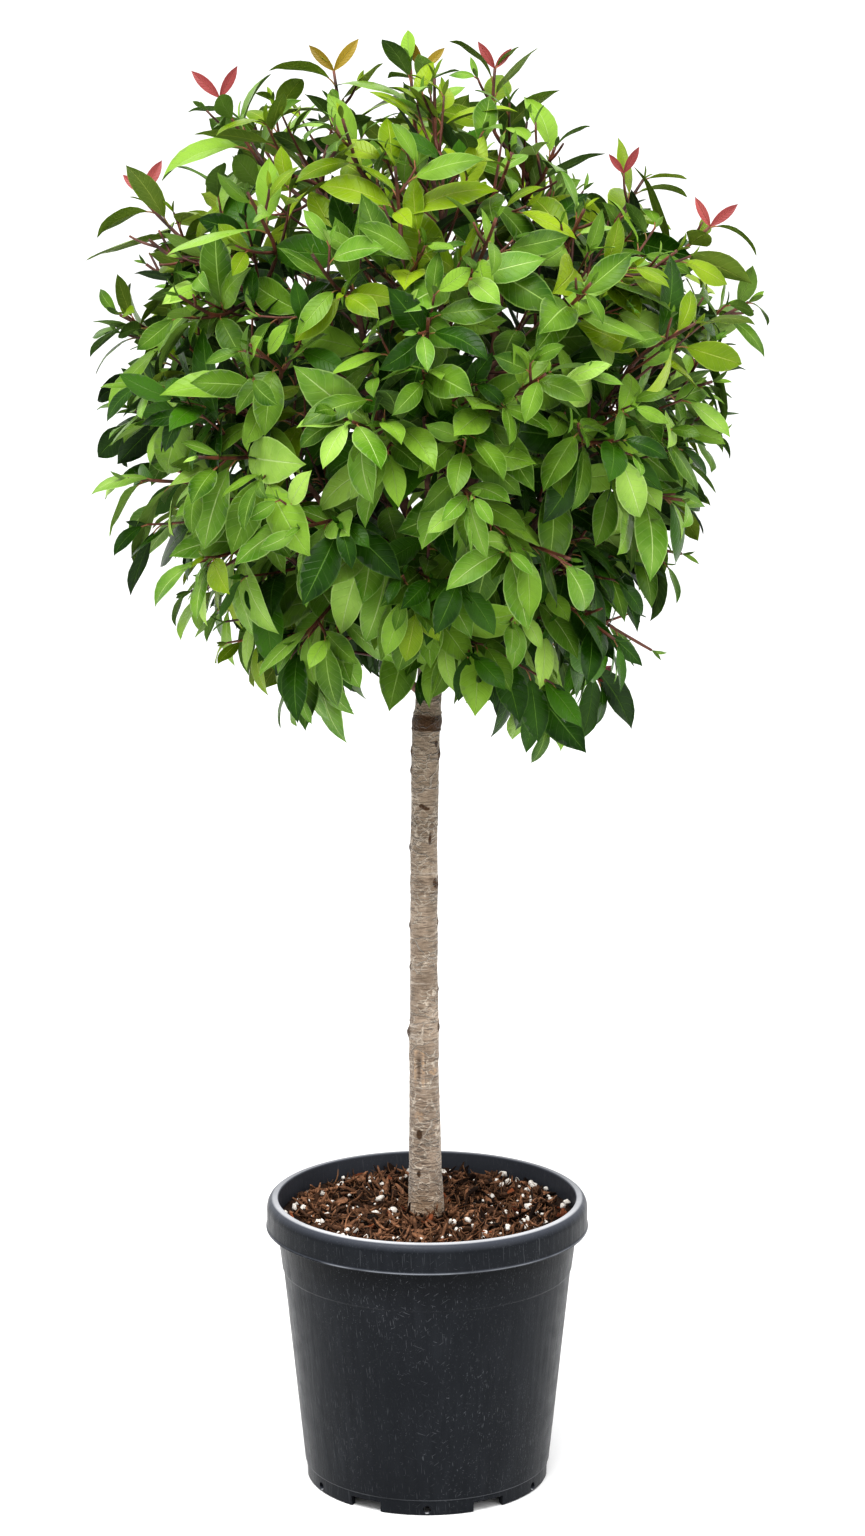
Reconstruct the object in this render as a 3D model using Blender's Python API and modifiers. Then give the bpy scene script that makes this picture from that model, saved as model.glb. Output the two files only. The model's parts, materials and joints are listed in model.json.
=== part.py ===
"""Potted photinia trained as a standard: a clear stem under a round leafy crown, in a plain nursery pot.

Metres, +Z up. The pot stands on z = 0 round the origin, +X is to the right and -Y is the front.
The crown is an uneven ball. Boughs leave the trunk or a leader and end where a mass of foliage begins.
Each mass keeps to its own cell of the ball, and its twigs and leaves are joined to one stem.
"""

import math
import random

import bmesh
import bpy
from mathutils import Matrix, Vector
from mathutils.bvhtree import BVHTree

NAME = "potted_photinia"
SEED = 13
GAP = 0.0003
GOLDEN_ANGLE = math.radians(137.5)
UP = Vector((0, 0, 1))
# A direction that no shoot runs along
ASIDE = Vector((0.3, 1, 0.2))
CLEARANCE = 1.5 * GAP
SMOOTH_ANGLE = math.radians(40)

# The pot is one moulded wall with a heavy rim, a collar under it and a notched foot
LATHE_STEPS = 40
POT_WALL = 0.003
RIM_RADIUS = 0.160
RIM_INNER_RADIUS = 0.1475
RIM_TOP = 0.2865
RIM_BOTTOM = 0.257
RIM_ROUND = 0.0035
COLLAR_TOP_RADIUS = 0.149
COLLAR_LOW_RADIUS = 0.144
COLLAR_BOTTOM = 0.216
COLLAR_STEP = 0.0011
BODY_LOW_RADIUS = 0.1224
FOOT_BAND = 0.016
FOOT_RADIUS = 0.1206
FOOT_WIDTH = 0.006
FOOT_ROUND = 0.001
BASE_UNDERSIDE = 0.012
BASE_TOP = 0.015
NOTCHES = 6
NOTCH_WIDTH = 0.033
NOTCH_HEIGHT = 0.010
FOOT_HOLE_RADIUS = 0.004
FOOT_HOLE_HEIGHT = 0.0055
HOLE_SIDES = 8
DRAIN_HOLE_RADIUS = 0.007
DRAIN_HOLE_CIRCLE = 0.085

SOIL_TOP = 0.270

# The trunk: height, sideways lean of its middle, and radius, from the root flare to the fork
TRUNK_LINE = (
    (SOIL_TOP + GAP, -0.001, 0.0184),
    (0.285, -0.001, 0.0175),
    (0.310, -0.0015, 0.0165),
    (0.350, -0.002, 0.0155),
    (0.420, -0.003, 0.0147),
    (0.520, -0.003, 0.0137),
    (0.640, -0.003, 0.0132),
    (0.752, -0.001, 0.0134),
    (0.764, 0.0, 0.0141),
    (0.778, 0.001, 0.0126),
    (0.850, 0.006, 0.0115),
    (0.930, 0.0115, 0.0102),
    (0.948, 0.0125, 0.0085),
    (0.956, 0.013, 0.0050),
)

# The crown is an ellipsoid of two unlike halves, with bulges and hollows in its front outline
CROWN_MIDDLE = Vector((0.0005, 0, 1.12))
CROWN_RADIUS = 0.336
CROWN_ABOVE = 0.300
CROWN_BELOW = 0.380
# angle in the front view from +X, spread of the angle, share of the reach
OUTLINE_BULGES = (
    (151, 20, 0.10),
    (48, 17, -0.16),
    (-15, 22, -0.06),
    (-62, 12, 0.05),
    (6, 8, 0.07),
)

# Tiers of masses: name, masses, azimuth of the first, latitude, height where the bough leaves the
# trunk, share of the way at which the bough ends, and radius of the bough's foot
TIERS = (
    ("low", 6, 30, -46, 0.800, 0.55, 0.0040),
    ("middle", 7, 12, -8, 0.858, 0.74, 0.0048),
    ("upper", 6, 24, 24, None, 0.62, None),
    ("top", 4, 8, 62, 0.905, 0.74, 0.0060),
)
SEED_DEPTH = 0.80
ATTACH_SPREAD = 0.014
LEADER_SHARES = (0.42, 0.58)
FORK_SHARE = 0.74
TRUNK_RESOLUTION = 4

# The limbs' lines: the pulls are shares of a line's length, and the rises are angles above level
TARGET_INSETS = 1.35
LEADER_RISE = math.radians(62)
BOUGH_RISE = math.radians(38)
FORK_RISE = math.radians(35)
BOUGH_START_PULL = 0.4
BOUGH_END_PULL = 0.35
BOUGH_END_LIFT = 0.1
BOUGH_TIP_RADIUS = 0.0024
BOUGH_RINGS = 6
BOUGH_RESOLUTION = 1
STEM_START_PULL = 0.3
STEM_END_PULL = 0.3
STEM_TIP_RADIUS = 0.0017
STEM_RINGS = 4

# The shoots: each twig ends in one, and its leaves stand round it
SHOOTS = 84
LOWEST_LATITUDE = math.radians(-72)
SHOOT_INSET = 0.084
# angle in the front view, depth off the middle, share of the reach of the shoots that stand out
TALL_SHOOTS = (
    (151, 0.02, 1.02),
    (128, -0.05, 1.02),
    (109, 0.03, 1.02),
    (93, -0.03, 1.05),
    (76, 0.02, 1.04),
    (60, -0.05, 1.04),
    (38, 0.04, 1.08),
    (24, -0.03, 1.06),
    (7, 0.02, 1.04),
)
SHOOT_SPACING = 0.066
SHOOT_NUDGES = (0, 0.12, 0.24, 0.36)
TWIG_RADIUS = 0.0017
TWIG_TIP_RADIUS = 0.0011
TWIG_RINGS = 3
# A twig leaves its stem further back the further aside its shoot is, between two shares of the stem
TWIG_SLANT = 0.9
TWIG_PLACES = (0.06, 0.97)
TWIG_PULL = 0.35
TWIG_END_LIFT = 0.35

# A leaf is an ovate blade folded up along its midrib, arched towards its tip
LEAF_LENGTH = 0.115
LEAF_WIDTH = 0.44
LEAF_THICKNESS = 0.0017
LEAF_SPINE = 0.45
LEAF_SHOULDER = 0.38
LEAF_WAIST = 0.72
LEAF_WAIST_WIDTH = 0.76
LEAF_FOLD = 0.16
LEAF_ARCH = 0.10
LEAF_SIZES = (0.9, 1.05)

# The leaves of a shoot: they open by some degrees from the first to the last, and hang lower down
LEAVES_PER_SHOOT = 5
LEAF_STEP = 0.011
LEAF_SPREAD = (18, 40)
LEAF_OPENING = 12
LEAF_OUTWARD = 0.15
LEAF_FACES_OUT = 0.7
LEAF_FACES_UP = (0.5, 1.0)
LEAF_SINK = 0.0015
LEAF_FREE_ROOT = 0.07
HANG = 0.65
HANG_VARIES = (-0.1, 0.15)
HANG_START = 0.16
HANG_SPAN = 0.4

# A leaf that doesn't fit is tried again with more spread and less length
LEAF_TRIES = 12
TRY_SPREAD = 25
TRY_SHRINK = 0.2
OUTLINE_LIMIT = 1.02
CELL_MARGIN = 0.0003
LIMB_MARGIN = 0.0006
LEAF_GREENS = {
    "low": (0.03, 0.13, 0.02),
    "middle": (0.05, 0.19, 0.02),
    "upper": (0.08, 0.25, 0.02),
    "top": (0.13, 0.30, 0.03),
}


def clear_scene():
    for obj in list(bpy.data.objects):
        bpy.data.objects.remove(obj)


def new_collection(name):
    collection = bpy.data.collections.new(name)
    bpy.context.scene.collection.children.link(collection)
    return collection


def new_material(name, colour, roughness):
    material = bpy.data.materials.new(name)
    material.use_nodes = True
    shader = material.node_tree.nodes["Principled BSDF"]
    shader.inputs["Base Color"].default_value = (*colour, 1)
    shader.inputs["Roughness"].default_value = roughness
    material.diffuse_color = (*colour, 1)
    return material


def object_from(bm, name, collection):
    mesh = bpy.data.meshes.new(name)
    bm.to_mesh(mesh)
    bm.free()
    obj = bpy.data.objects.new(name, mesh)
    collection.objects.link(obj)
    return obj


def smooth(obj):
    obj.data.shade_smooth()
    obj.data.set_sharp_from_angle(angle=SMOOTH_ANGLE)


def lathe(name, profile, collection):
    """A turned solid from its profile of radius and height, which runs down the outer side."""
    bm = bmesh.new()
    points = [bm.verts.new((radius, 0, height)) for radius, height in profile]
    for first, second in zip(points, points[1:]):
        bm.edges.new((first, second))
    obj = object_from(bm, name, collection)
    screw = obj.modifiers.new("turn", "SCREW")
    screw.steps = LATHE_STEPS
    screw.render_steps = LATHE_STEPS
    screw.use_merge_vertices = True
    screw.merge_threshold = 0.0001
    return obj


def pot_inside():
    """The inner side of the wall, from the middle of the base up to the lip."""
    return [
        (0, BASE_TOP),
        (BODY_LOW_RADIUS - POT_WALL, BASE_TOP),
        (COLLAR_LOW_RADIUS - COLLAR_STEP - POT_WALL, COLLAR_BOTTOM),
        (COLLAR_TOP_RADIUS - POT_WALL, RIM_BOTTOM),
        (RIM_INNER_RADIUS, RIM_TOP - RIM_ROUND / 2),
    ]


def pot_outside():
    """The rim, the collar, the tapered body and the foot, from the lip down to the base's underside."""
    return [
        (RIM_INNER_RADIUS + RIM_ROUND / 2, RIM_TOP),
        (RIM_RADIUS - RIM_ROUND, RIM_TOP),
        (RIM_RADIUS, RIM_TOP - RIM_ROUND),
        (RIM_RADIUS, RIM_BOTTOM + RIM_ROUND / 2),
        (RIM_RADIUS - RIM_ROUND / 2, RIM_BOTTOM),
        (COLLAR_TOP_RADIUS, RIM_BOTTOM),
        (COLLAR_LOW_RADIUS, COLLAR_BOTTOM),
        (COLLAR_LOW_RADIUS - COLLAR_STEP, COLLAR_BOTTOM - COLLAR_STEP),
        (BODY_LOW_RADIUS, FOOT_BAND),
        (FOOT_RADIUS, FOOT_BAND - FOOT_ROUND),
        (FOOT_RADIUS, FOOT_ROUND),
        (FOOT_RADIUS - FOOT_ROUND, 0),
        (FOOT_RADIUS - FOOT_WIDTH, 0),
        (FOOT_RADIUS - FOOT_WIDTH, BASE_UNDERSIDE),
        (0, BASE_UNDERSIDE),
    ]


def hide_cutter(cutter):
    cutter.hide_render = True
    cutter.display_type = "WIRE"


def add_foot_cutters(cutters):
    """Notches and small holes through the foot, and drain holes through the base, six of each."""
    for index in range(NOTCHES):
        azimuth = math.tau * index / NOTCHES
        bm = bmesh.new()
        size = (4 * FOOT_WIDTH, NOTCH_WIDTH, 2 * NOTCH_HEIGHT)
        bmesh.ops.create_cube(bm, size=1, matrix=Matrix.Diagonal((*size, 1)))
        notch = object_from(bm, f"notch_{index + 1}", cutters)
        notch.location = Matrix.Rotation(azimuth, 3, "Z") @ Vector((FOOT_RADIUS, 0, 0))
        notch.rotation_euler.z = azimuth
        hide_cutter(notch)
        add_hole(
            f"foot_hole_{index + 1}",
            (FOOT_RADIUS, FOOT_HOLE_HEIGHT),
            azimuth + math.pi / NOTCHES,
            (FOOT_HOLE_RADIUS, 4 * FOOT_WIDTH),
            "Y",
            cutters,
        )
        add_hole(
            f"drain_hole_{index + 1}",
            (DRAIN_HOLE_CIRCLE, BASE_TOP),
            azimuth,
            (DRAIN_HOLE_RADIUS, 4 * POT_WALL),
            "Z",
            cutters,
        )


def add_hole(name, place, azimuth, size, axis, cutters):
    """A round cutter at a radius and height, with its axis upright (Z) or pointing outwards (Y)."""
    bm = bmesh.new()
    radius, depth = size
    bmesh.ops.create_cone(
        bm, cap_ends=True, segments=HOLE_SIDES, radius1=radius, radius2=radius, depth=depth
    )
    turn = Matrix.Rotation(math.pi / 2, 4, "Y") if axis == "Y" else Matrix.Identity(4)
    bmesh.ops.transform(bm, matrix=turn, verts=bm.verts)
    hole = object_from(bm, name, cutters)
    hole.location = Matrix.Rotation(azimuth, 3, "Z") @ Vector((place[0], 0, place[1]))
    hole.rotation_euler.z = azimuth
    hide_cutter(hole)


def make_pot(collection):
    pot = lathe("pot", pot_inside() + pot_outside(), collection)
    cutters = new_collection("pot cutters")
    add_foot_cutters(cutters)
    cut = pot.modifiers.new("foot openings", "BOOLEAN")
    cut.operation = "DIFFERENCE"
    cut.operand_type = "COLLECTION"
    cut.collection = cutters
    pot.data.materials.append(new_material("pot plastic", (0.026, 0.030, 0.036), 0.5))
    smooth(pot)


def make_soil(collection):
    """The filling, clear of the pot's wall and base by the gap, with a flat top below the lip."""
    inside = pot_inside()
    below, above = inside[-2], inside[-1]
    share = (SOIL_TOP - below[1]) / (above[1] - below[1])
    top_radius = below[0] + share * (above[0] - below[0])
    side = [(top_radius, SOIL_TOP), *reversed(inside[1:-1])]
    profile = [(0, SOIL_TOP)]
    profile += [(radius - CLEARANCE, max(height, BASE_TOP + GAP)) for radius, height in side]
    profile.append((0, BASE_TOP + GAP))
    soil = lathe("soil", profile, collection)
    soil.data.materials.append(new_material("bark soil", (0.060, 0.030, 0.018), 0.95))


def bezier(start, start_pull, end_pull, end, count):
    """Points spread along a cubic curve, its ends included."""
    points = []
    for index in range(count):
        share = index / (count - 1)
        rest = 1 - share
        points.append(
            start * rest**3
            + start_pull * 3 * rest**2 * share
            + end_pull * 3 * rest * share**2
            + end * share**3
        )
    return points


def taper(first, last, count):
    return [first + (last - first) * index / (count - 1) for index in range(count)]


def triangle_section(collection):
    """The three-sided outline that twigs are swept with."""
    data = bpy.data.curves.new("twig section", "CURVE")
    spline = data.splines.new("POLY")
    spline.points.add(2)
    for index, point in enumerate(spline.points):
        angle = math.tau * index / 3
        point.co = (math.cos(angle), math.sin(angle), 0, 1)
    spline.use_cyclic_u = True
    section = bpy.data.objects.new("twig section", data)
    collection.objects.link(section)
    hide_cutter(section)
    return section


def tube(name, points, radii, collection, resolution=None, section=None):
    """A closed mesh tube along the points, round with a bevel resolution or swept with a section."""
    data = bpy.data.curves.new(name, "CURVE")
    data.dimensions = "3D"
    data.use_fill_caps = True
    if section:
        data.bevel_mode = "OBJECT"
        data.bevel_object = section
    else:
        data.bevel_depth = 1
        data.bevel_resolution = resolution
    spline = data.splines.new("POLY")
    spline.points.add(len(points) - 1)
    for control, point, radius in zip(spline.points, points, radii):
        control.co = (*point, 1)
        control.radius = radius
    curve = bpy.data.objects.new(name + " line", data)
    collection.objects.link(curve)
    evaluated = curve.evaluated_get(bpy.context.evaluated_depsgraph_get())
    mesh = bpy.data.meshes.new_from_object(evaluated)
    bpy.data.objects.remove(curve)
    bpy.data.curves.remove(data)
    mesh.name = name
    bm = bmesh.new()
    bm.from_mesh(mesh)
    bmesh.ops.remove_doubles(bm, verts=bm.verts, dist=0.00001)
    bmesh.ops.recalc_face_normals(bm, faces=bm.faces)
    bm.to_mesh(mesh)
    bm.free()
    obj = bpy.data.objects.new(name, mesh)
    collection.objects.link(obj)
    return obj


def trunk_points():
    return [Vector((sideways, 0, height)) for height, sideways, _ in TRUNK_LINE]


def trunk_at(height):
    """The middle of the trunk at a height."""
    for low, high in zip(TRUNK_LINE, TRUNK_LINE[1:]):
        if height <= high[0]:
            share = (height - low[0]) / (high[0] - low[0])
            return Vector((low[1] + share * (high[1] - low[1]), 0, height))
    return Vector((TRUNK_LINE[-1][1], 0, height))


def outline_share(direction):
    """How far the crown reaches in a unit direction, as a share of the even ball."""
    flat = math.hypot(direction.x, direction.z)
    angle = math.degrees(math.atan2(direction.z, direction.x))
    share = 1.0
    for middle, spread, amount in OUTLINE_BULGES:
        away = (angle - middle + 180) % 360 - 180
        share += amount * flat**3 * math.exp(-((away / spread) ** 2))
    return share


def crown_point(direction, share=1.0):
    """The point of the crown's surface in a unit direction, or a share of the way to it."""
    height = CROWN_ABOVE if direction.z > 0 else CROWN_BELOW
    reach = share * outline_share(direction)
    return CROWN_MIDDLE + reach * Vector(
        (direction.x * CROWN_RADIUS, direction.y * CROWN_RADIUS, direction.z * height)
    )


def crown_depth(point):
    """Where a point lies on the way from the crown's middle, 0, to its surface, 1."""
    offset = point - CROWN_MIDDLE
    height = CROWN_ABOVE if offset.z > 0 else CROWN_BELOW
    ball = Vector((offset.x / CROWN_RADIUS, offset.y / CROWN_RADIUS, offset.z / height))
    return ball.length / outline_share(ball.normalized()) if ball.length else 0


def outward_at(point):
    """The direction straight out of the crown's surface next to a point."""
    offset = point - CROWN_MIDDLE
    height = CROWN_ABOVE if offset.z > 0 else CROWN_BELOW
    return Vector(
        (offset.x / CROWN_RADIUS**2, offset.y / CROWN_RADIUS**2, offset.z / height**2)
    ).normalized()


def direction_of(azimuth, latitude):
    flat = math.cos(latitude)
    return Vector((flat * math.cos(azimuth), flat * math.sin(azimuth), math.sin(latitude)))


def bough_line(start, target, share, rise):
    """The bough's middle line, which ends at a share of the way to the target."""
    end = start + share * (target - start)
    outward = Vector((target.x - start.x, target.y - start.y, 0)).normalized()
    length = (end - start).length
    rising = outward * math.cos(rise) + UP * math.sin(rise)
    start_pull = start + BOUGH_START_PULL * length * rising
    heading = (target - end).normalized().lerp(UP, BOUGH_END_LIFT).normalized()
    end_pull = end - BOUGH_END_PULL * length * heading
    return bezier(start, start_pull, end_pull, end, BOUGH_RINGS)


def plan_crown():
    """The boughs and masses, leaders first, as dictionaries of their names, lines and sizes.

    The top boughs are the leaders. An upper bough forks from the leader whose end is nearest.
    """
    plans = []
    leaders = []
    for name, count, first, latitude, attach, share, radius in reversed(TIERS):
        for index in range(count):
            azimuth = math.radians(first + 360 * index / count)
            direction = direction_of(azimuth, math.radians(latitude))
            target = crown_point(direction, 1 - TARGET_INSETS * SHOOT_INSET / CROWN_RADIUS)
            if attach:
                spread = ATTACH_SPREAD * (index % 3 - 1) if name != "top" else 0
                start = trunk_at(attach + spread)
                parent = "trunk"
                rise = LEADER_RISE if name == "top" else BOUGH_RISE
            else:
                leader = min(leaders, key=lambda plan: (plan["line"][-1] - target).length)
                place = LEADER_SHARES[leader["carried"] % 2]
                leader["carried"] += 1
                start = point_along(leader["line"], place)
                carrier = leader["radii"][0] + place * (BOUGH_TIP_RADIUS - leader["radii"][0])
                radius = FORK_SHARE * carrier
                parent = leader["bough"]
                rise = FORK_RISE
            plan = {
                "bough": f"bough_{name}_{index + 1}",
                "mass": f"leaves_{name}_{index + 1}",
                "tier": name,
                "parent": parent,
                "line": bough_line(start, target, share, rise),
                "radii": taper(radius, BOUGH_TIP_RADIUS, BOUGH_RINGS),
                "seed_point": crown_point(direction, SEED_DEPTH),
                "target": target,
                "carried": 0,
            }
            plans.append(plan)
            if name == "top":
                leaders.append(plan)
    return plans


def point_along(line, share):
    place = share * (len(line) - 1)
    index = min(int(place), len(line) - 2)
    return line[index].lerp(line[index + 1], place - index)


def make_trunk(collection):
    radii = [radius for _, _, radius in TRUNK_LINE]
    trunk = tube("trunk", trunk_points(), radii, collection, TRUNK_RESOLUTION)
    trunk.data.materials.append(new_material("trunk bark", (0.36, 0.29, 0.22), 0.85))
    smooth(trunk)
    return trunk


def make_bough(plan, parent, collection, scratch):
    """A tapered limb, its foot cut to sit on the limb that carries it, clear by the gap."""
    bough = tube(plan["bough"], plan["line"], plan["radii"], collection, BOUGH_RESOLUTION)
    points, radii, resolution = parent
    wider = [radius + CLEARANCE for radius in radii]
    cutter = tube("limb space", points, wider, scratch, resolution)
    cut = bough.modifiers.new("foot", "BOOLEAN")
    cut.operation = "DIFFERENCE"
    cut.object = cutter
    apply_modifiers(bough)
    bpy.data.objects.remove(cutter)
    bough.data.materials.append(new_material(plan["bough"], (0.16, 0.065, 0.045), 0.7))
    smooth(bough)
    return bough


def apply_modifiers(obj):
    """Makes the evaluated mesh the object's own, without any loose scrap that a Boolean left."""
    evaluated = obj.evaluated_get(bpy.context.evaluated_depsgraph_get())
    mesh = bpy.data.meshes.new_from_object(evaluated)
    obj.modifiers.clear()
    obj.data = mesh
    bm = bmesh.new()
    bm.from_mesh(mesh)
    islands = islands_of(bm)
    for island in islands[1:]:
        bmesh.ops.delete(bm, geom=island, context="VERTS")
    bm.to_mesh(mesh)
    bm.free()


def islands_of(bm):
    """The connected sets of vertices, the largest first."""
    left = set(bm.verts)
    islands = []
    while left:
        island = [left.pop()]
        for vertex in island:
            for edge in vertex.link_edges:
                other = edge.other_vert(vertex)
                if other in left:
                    left.remove(other)
                    island.append(other)
        islands.append(island)
    return sorted(islands, key=len, reverse=True)


def stem_line(plan):
    """The mass's stem, from just past its bough's tip on towards its target."""
    line = plan["line"]
    heading = (line[-1] - line[-2]).normalized()
    start = line[-1] + CLEARANCE * heading
    target = plan["target"]
    start_pull = start + STEM_START_PULL * (target - start).length * heading
    end_pull = target.lerp(start, STEM_END_PULL)
    return bezier(start, start_pull, end_pull, target, STEM_RINGS)


def shoot_points():
    """Where the twigs end: the tall shoots, then an even spread over the rest of the crown."""
    found = []
    for angle, depth, reach in TALL_SHOOTS:
        turn = math.radians(angle)
        direction = Vector((math.cos(turn), depth / CROWN_RADIUS, math.sin(turn)))
        found.append(inset_point(direction.normalized(), reach))
    for index in range(SHOOTS):
        latitude = math.asin(1 - 2 * (index + 0.5) / SHOOTS)
        point = inset_point(direction_of(index * GOLDEN_ANGLE, latitude), 1)
        crowded = any((point - other).length < SHOOT_SPACING for other in found)
        if latitude > LOWEST_LATITUDE and not crowded:
            found.append(point)
    return found


def inset_point(direction, reach):
    surface = crown_point(direction, reach)
    return surface - SHOOT_INSET * (surface - CROWN_MIDDLE).normalized()


def twig_line(stem, point):
    """A twig that leaves the stem at a slant and bends out of the crown to end at the point."""
    along = (stem[-1] - stem[0]).normalized()
    length = (stem[-1] - stem[0]).length
    offset = point - stem[0]
    ahead = offset.dot(along)
    aside = (offset - ahead * along).length
    first, last = TWIG_PLACES
    start = point_along(stem, min(last, max(first, (ahead - TWIG_SLANT * aside) / length)))
    pull = TWIG_PULL * (point - start).length
    leaving = (along + (point - start).normalized()).normalized()
    heading = (outward_at(point) + TWIG_END_LIFT * UP).normalized()
    return bezier(start, start + pull * leaving, point - pull * heading, point, TWIG_RINGS)


def leaf_template():
    """A leaf of unit length along +X, flat in XY: its points, its faces and the index of its root."""
    bm = bmesh.new()
    bmesh.ops.create_uvsphere(bm, u_segments=6, v_segments=2, radius=1)
    bmesh.ops.triangulate(bm, faces=bm.faces)
    corner_turn = Matrix.Rotation(math.pi / 6, 3, "Z")
    bmesh.ops.rotate(bm, verts=bm.verts, matrix=corner_turn)
    places = [leaf_place(vertex.co) for vertex in bm.verts]
    faces = [[vertex.index for vertex in face.verts] for face in bm.faces]
    bm.free()
    root = min(range(len(places)), key=lambda index: places[index].x)
    return places, faces, root


def leaf_place(corner):
    """Moves one corner of a six-sided double pyramid to its place on the unit leaf."""
    side = math.copysign(0.5, corner.y)
    if abs(corner.z) > 0.5:
        return Vector((LEAF_SPINE, 0, math.copysign(0.5, corner.z)))
    if corner.x > 0.9:
        return Vector((1, 0, 0))
    if corner.x > 0:
        return Vector((LEAF_WAIST, side * LEAF_WAIST_WIDTH, 0))
    if corner.x > -0.9:
        return Vector((LEAF_SHOULDER, side, 0))
    return Vector((0, 0, 0))


def placed_leaf(template, root, heading, facing, length):
    """The template's points set at a root, along a heading and facing a direction."""
    across = facing.cross(heading).normalized()
    upper = heading.cross(across).normalized()
    points = []
    for place in template:
        width = place.y * LEAF_WIDTH * length
        lift = LEAF_FOLD * abs(width) * 2 + place.z * LEAF_THICKNESS
        lift -= LEAF_ARCH * length * place.x**2
        points.append(root + heading * place.x * length + across * width + upper * lift)
    return points


def place_back(line, distance):
    """The point at a distance back from a line's end, and the line's direction there."""
    end = line[-1]
    for start in reversed(line[:-1]):
        length = (end - start).length
        if distance <= length or start is line[0]:
            axis = (end - start).normalized()
            return end - axis * min(distance, 0.9 * length), axis
        distance -= length
        end = start


def leaf_heading(root, axis, turn, spread, draw):
    """The direction of one leaf round a shoot. It hangs more the lower it is in the crown."""
    side = axis.cross(ASIDE).normalized()
    around = Matrix.Rotation(turn, 3, axis) @ side
    heading = axis * math.cos(spread) + around * math.sin(spread)
    low = min(1.0, max(0.0, (CROWN_MIDDLE.z + HANG_START - root.z) / HANG_SPAN))
    hang = HANG * low + draw.uniform(*HANG_VARIES)
    return (heading - hang * UP + LEAF_OUTWARD * outward_at(root)).normalized()


def grow_leaf(line, turn, index, template, draw, space):
    """One leaf of a shoot as a list of points, or None where none of its tries fits."""
    places, faces, root_index = template
    root, axis = place_back(line, LEAF_SINK + LEAF_STEP * index)
    for attempt in range(LEAF_TRIES):
        wander = attempt / LEAF_TRIES
        around = turn + index * GOLDEN_ANGLE + wander * draw.uniform(-math.pi, math.pi)
        spread = draw.uniform(*LEAF_SPREAD) + LEAF_OPENING * index + TRY_SPREAD * wander
        heading = leaf_heading(root, axis, around, math.radians(spread), draw)
        facing = LEAF_FACES_OUT * outward_at(root) + draw.uniform(*LEAF_FACES_UP) * UP
        length = LEAF_LENGTH * draw.uniform(*LEAF_SIZES) * (1 - TRY_SHRINK * wander)
        points = placed_leaf(places, root, heading, facing, length)
        outer = list(points)
        outer[root_index] = root + heading * length * LEAF_FREE_ROOT
        if space.admits(points, faces, outer):
            return points
    return None


def grow_leaves(lines, template, draw, space):
    """The leaves of a mass's shoots, one on each in turn. A leaf that fits nowhere is left out."""
    turns = [draw.uniform(0, math.tau) for _ in lines]
    grown = []
    for index in range(LEAVES_PER_SHOOT):
        for line, turn in zip(lines, turns):
            points = grow_leaf(line, turn, index, template, draw, space)
            if points:
                grown.append(points)
    return grown


class MassSpace:
    """The cell of one mass, and all that its twigs and leaves keep clear of."""

    def __init__(self, own, seeds, obstacles):
        self.planes = []
        for seed in seeds:
            if seed is not own:
                across = (seed - own).normalized()
                self.planes.append((across, across.dot((seed + own) / 2) - CELL_MARGIN))
        self.obstacles = obstacles
        self.grown = []

    def holds(self, points):
        """Whether all the points are in the crown and in this cell of it."""
        if max(crown_depth(point) for point in points) > OUTLINE_LIMIT:
            return False
        return all(
            across.dot(point) < limit for across, limit in self.planes for point in points
        )

    def admits(self, points, faces, outer):
        """Whether a piece fits. Its outer points leave out the part that is sunk in its carrier."""
        if not self.holds(points):
            return False
        shape = BVHTree.FromPolygons(points, faces)
        if any(shape.overlap(obstacle) for obstacle in self.obstacles):
            return False
        blade = BVHTree.FromPolygons(outer, faces)
        if any(blade.overlap(other) for other in self.grown):
            return False
        self.grown.append(blade)
        return True


def space_round(lines, scratch, section):
    """A search tree of the limbs along some (points, radii, resolution), widened by the margin."""
    points, faces = [], []
    for line, radii, resolution in lines:
        wider = [radius + LIMB_MARGIN for radius in radii]
        swept = None if resolution else section
        widened = tube("limb space", line, wider, scratch, resolution, swept)
        for face in widened.data.polygons:
            faces.append([len(points) + index for index in face.vertices])
        points += [vertex.co.copy() for vertex in widened.data.vertices]
        bpy.data.objects.remove(widened)
    return BVHTree.FromPolygons(points, faces)


def grow_twigs(stem, shoots, space, section, pieces):
    """The twigs from the stem to the shoots in the mass's cell, as their lines."""
    lines = []
    for shoot in shoots:
        for nudge in SHOOT_NUDGES:
            if not space.holds([shoot]):
                break
            line = twig_line(stem, shoot.lerp(stem[-1], nudge))
            radii = taper(TWIG_RADIUS, TWIG_TIP_RADIUS, len(line))
            twig = tube("twig", line, radii, pieces, section=section)
            points = [vertex.co.copy() for vertex in twig.data.vertices]
            faces = [list(face.vertices) for face in twig.data.polygons]
            if space.admits(points, faces, points):
                lines.append(line)
                break
            bpy.data.objects.remove(twig)
    return lines


def join_pieces(obj, pieces):
    """One union of the object with all the pieces, which are then removed."""
    join = obj.modifiers.new("join", "BOOLEAN")
    join.operation = "UNION"
    join.operand_type = "COLLECTION"
    join.collection = pieces
    apply_modifiers(obj)
    for piece in list(pieces.objects):
        bpy.data.objects.remove(piece)
    bpy.data.collections.remove(pieces)


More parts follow.
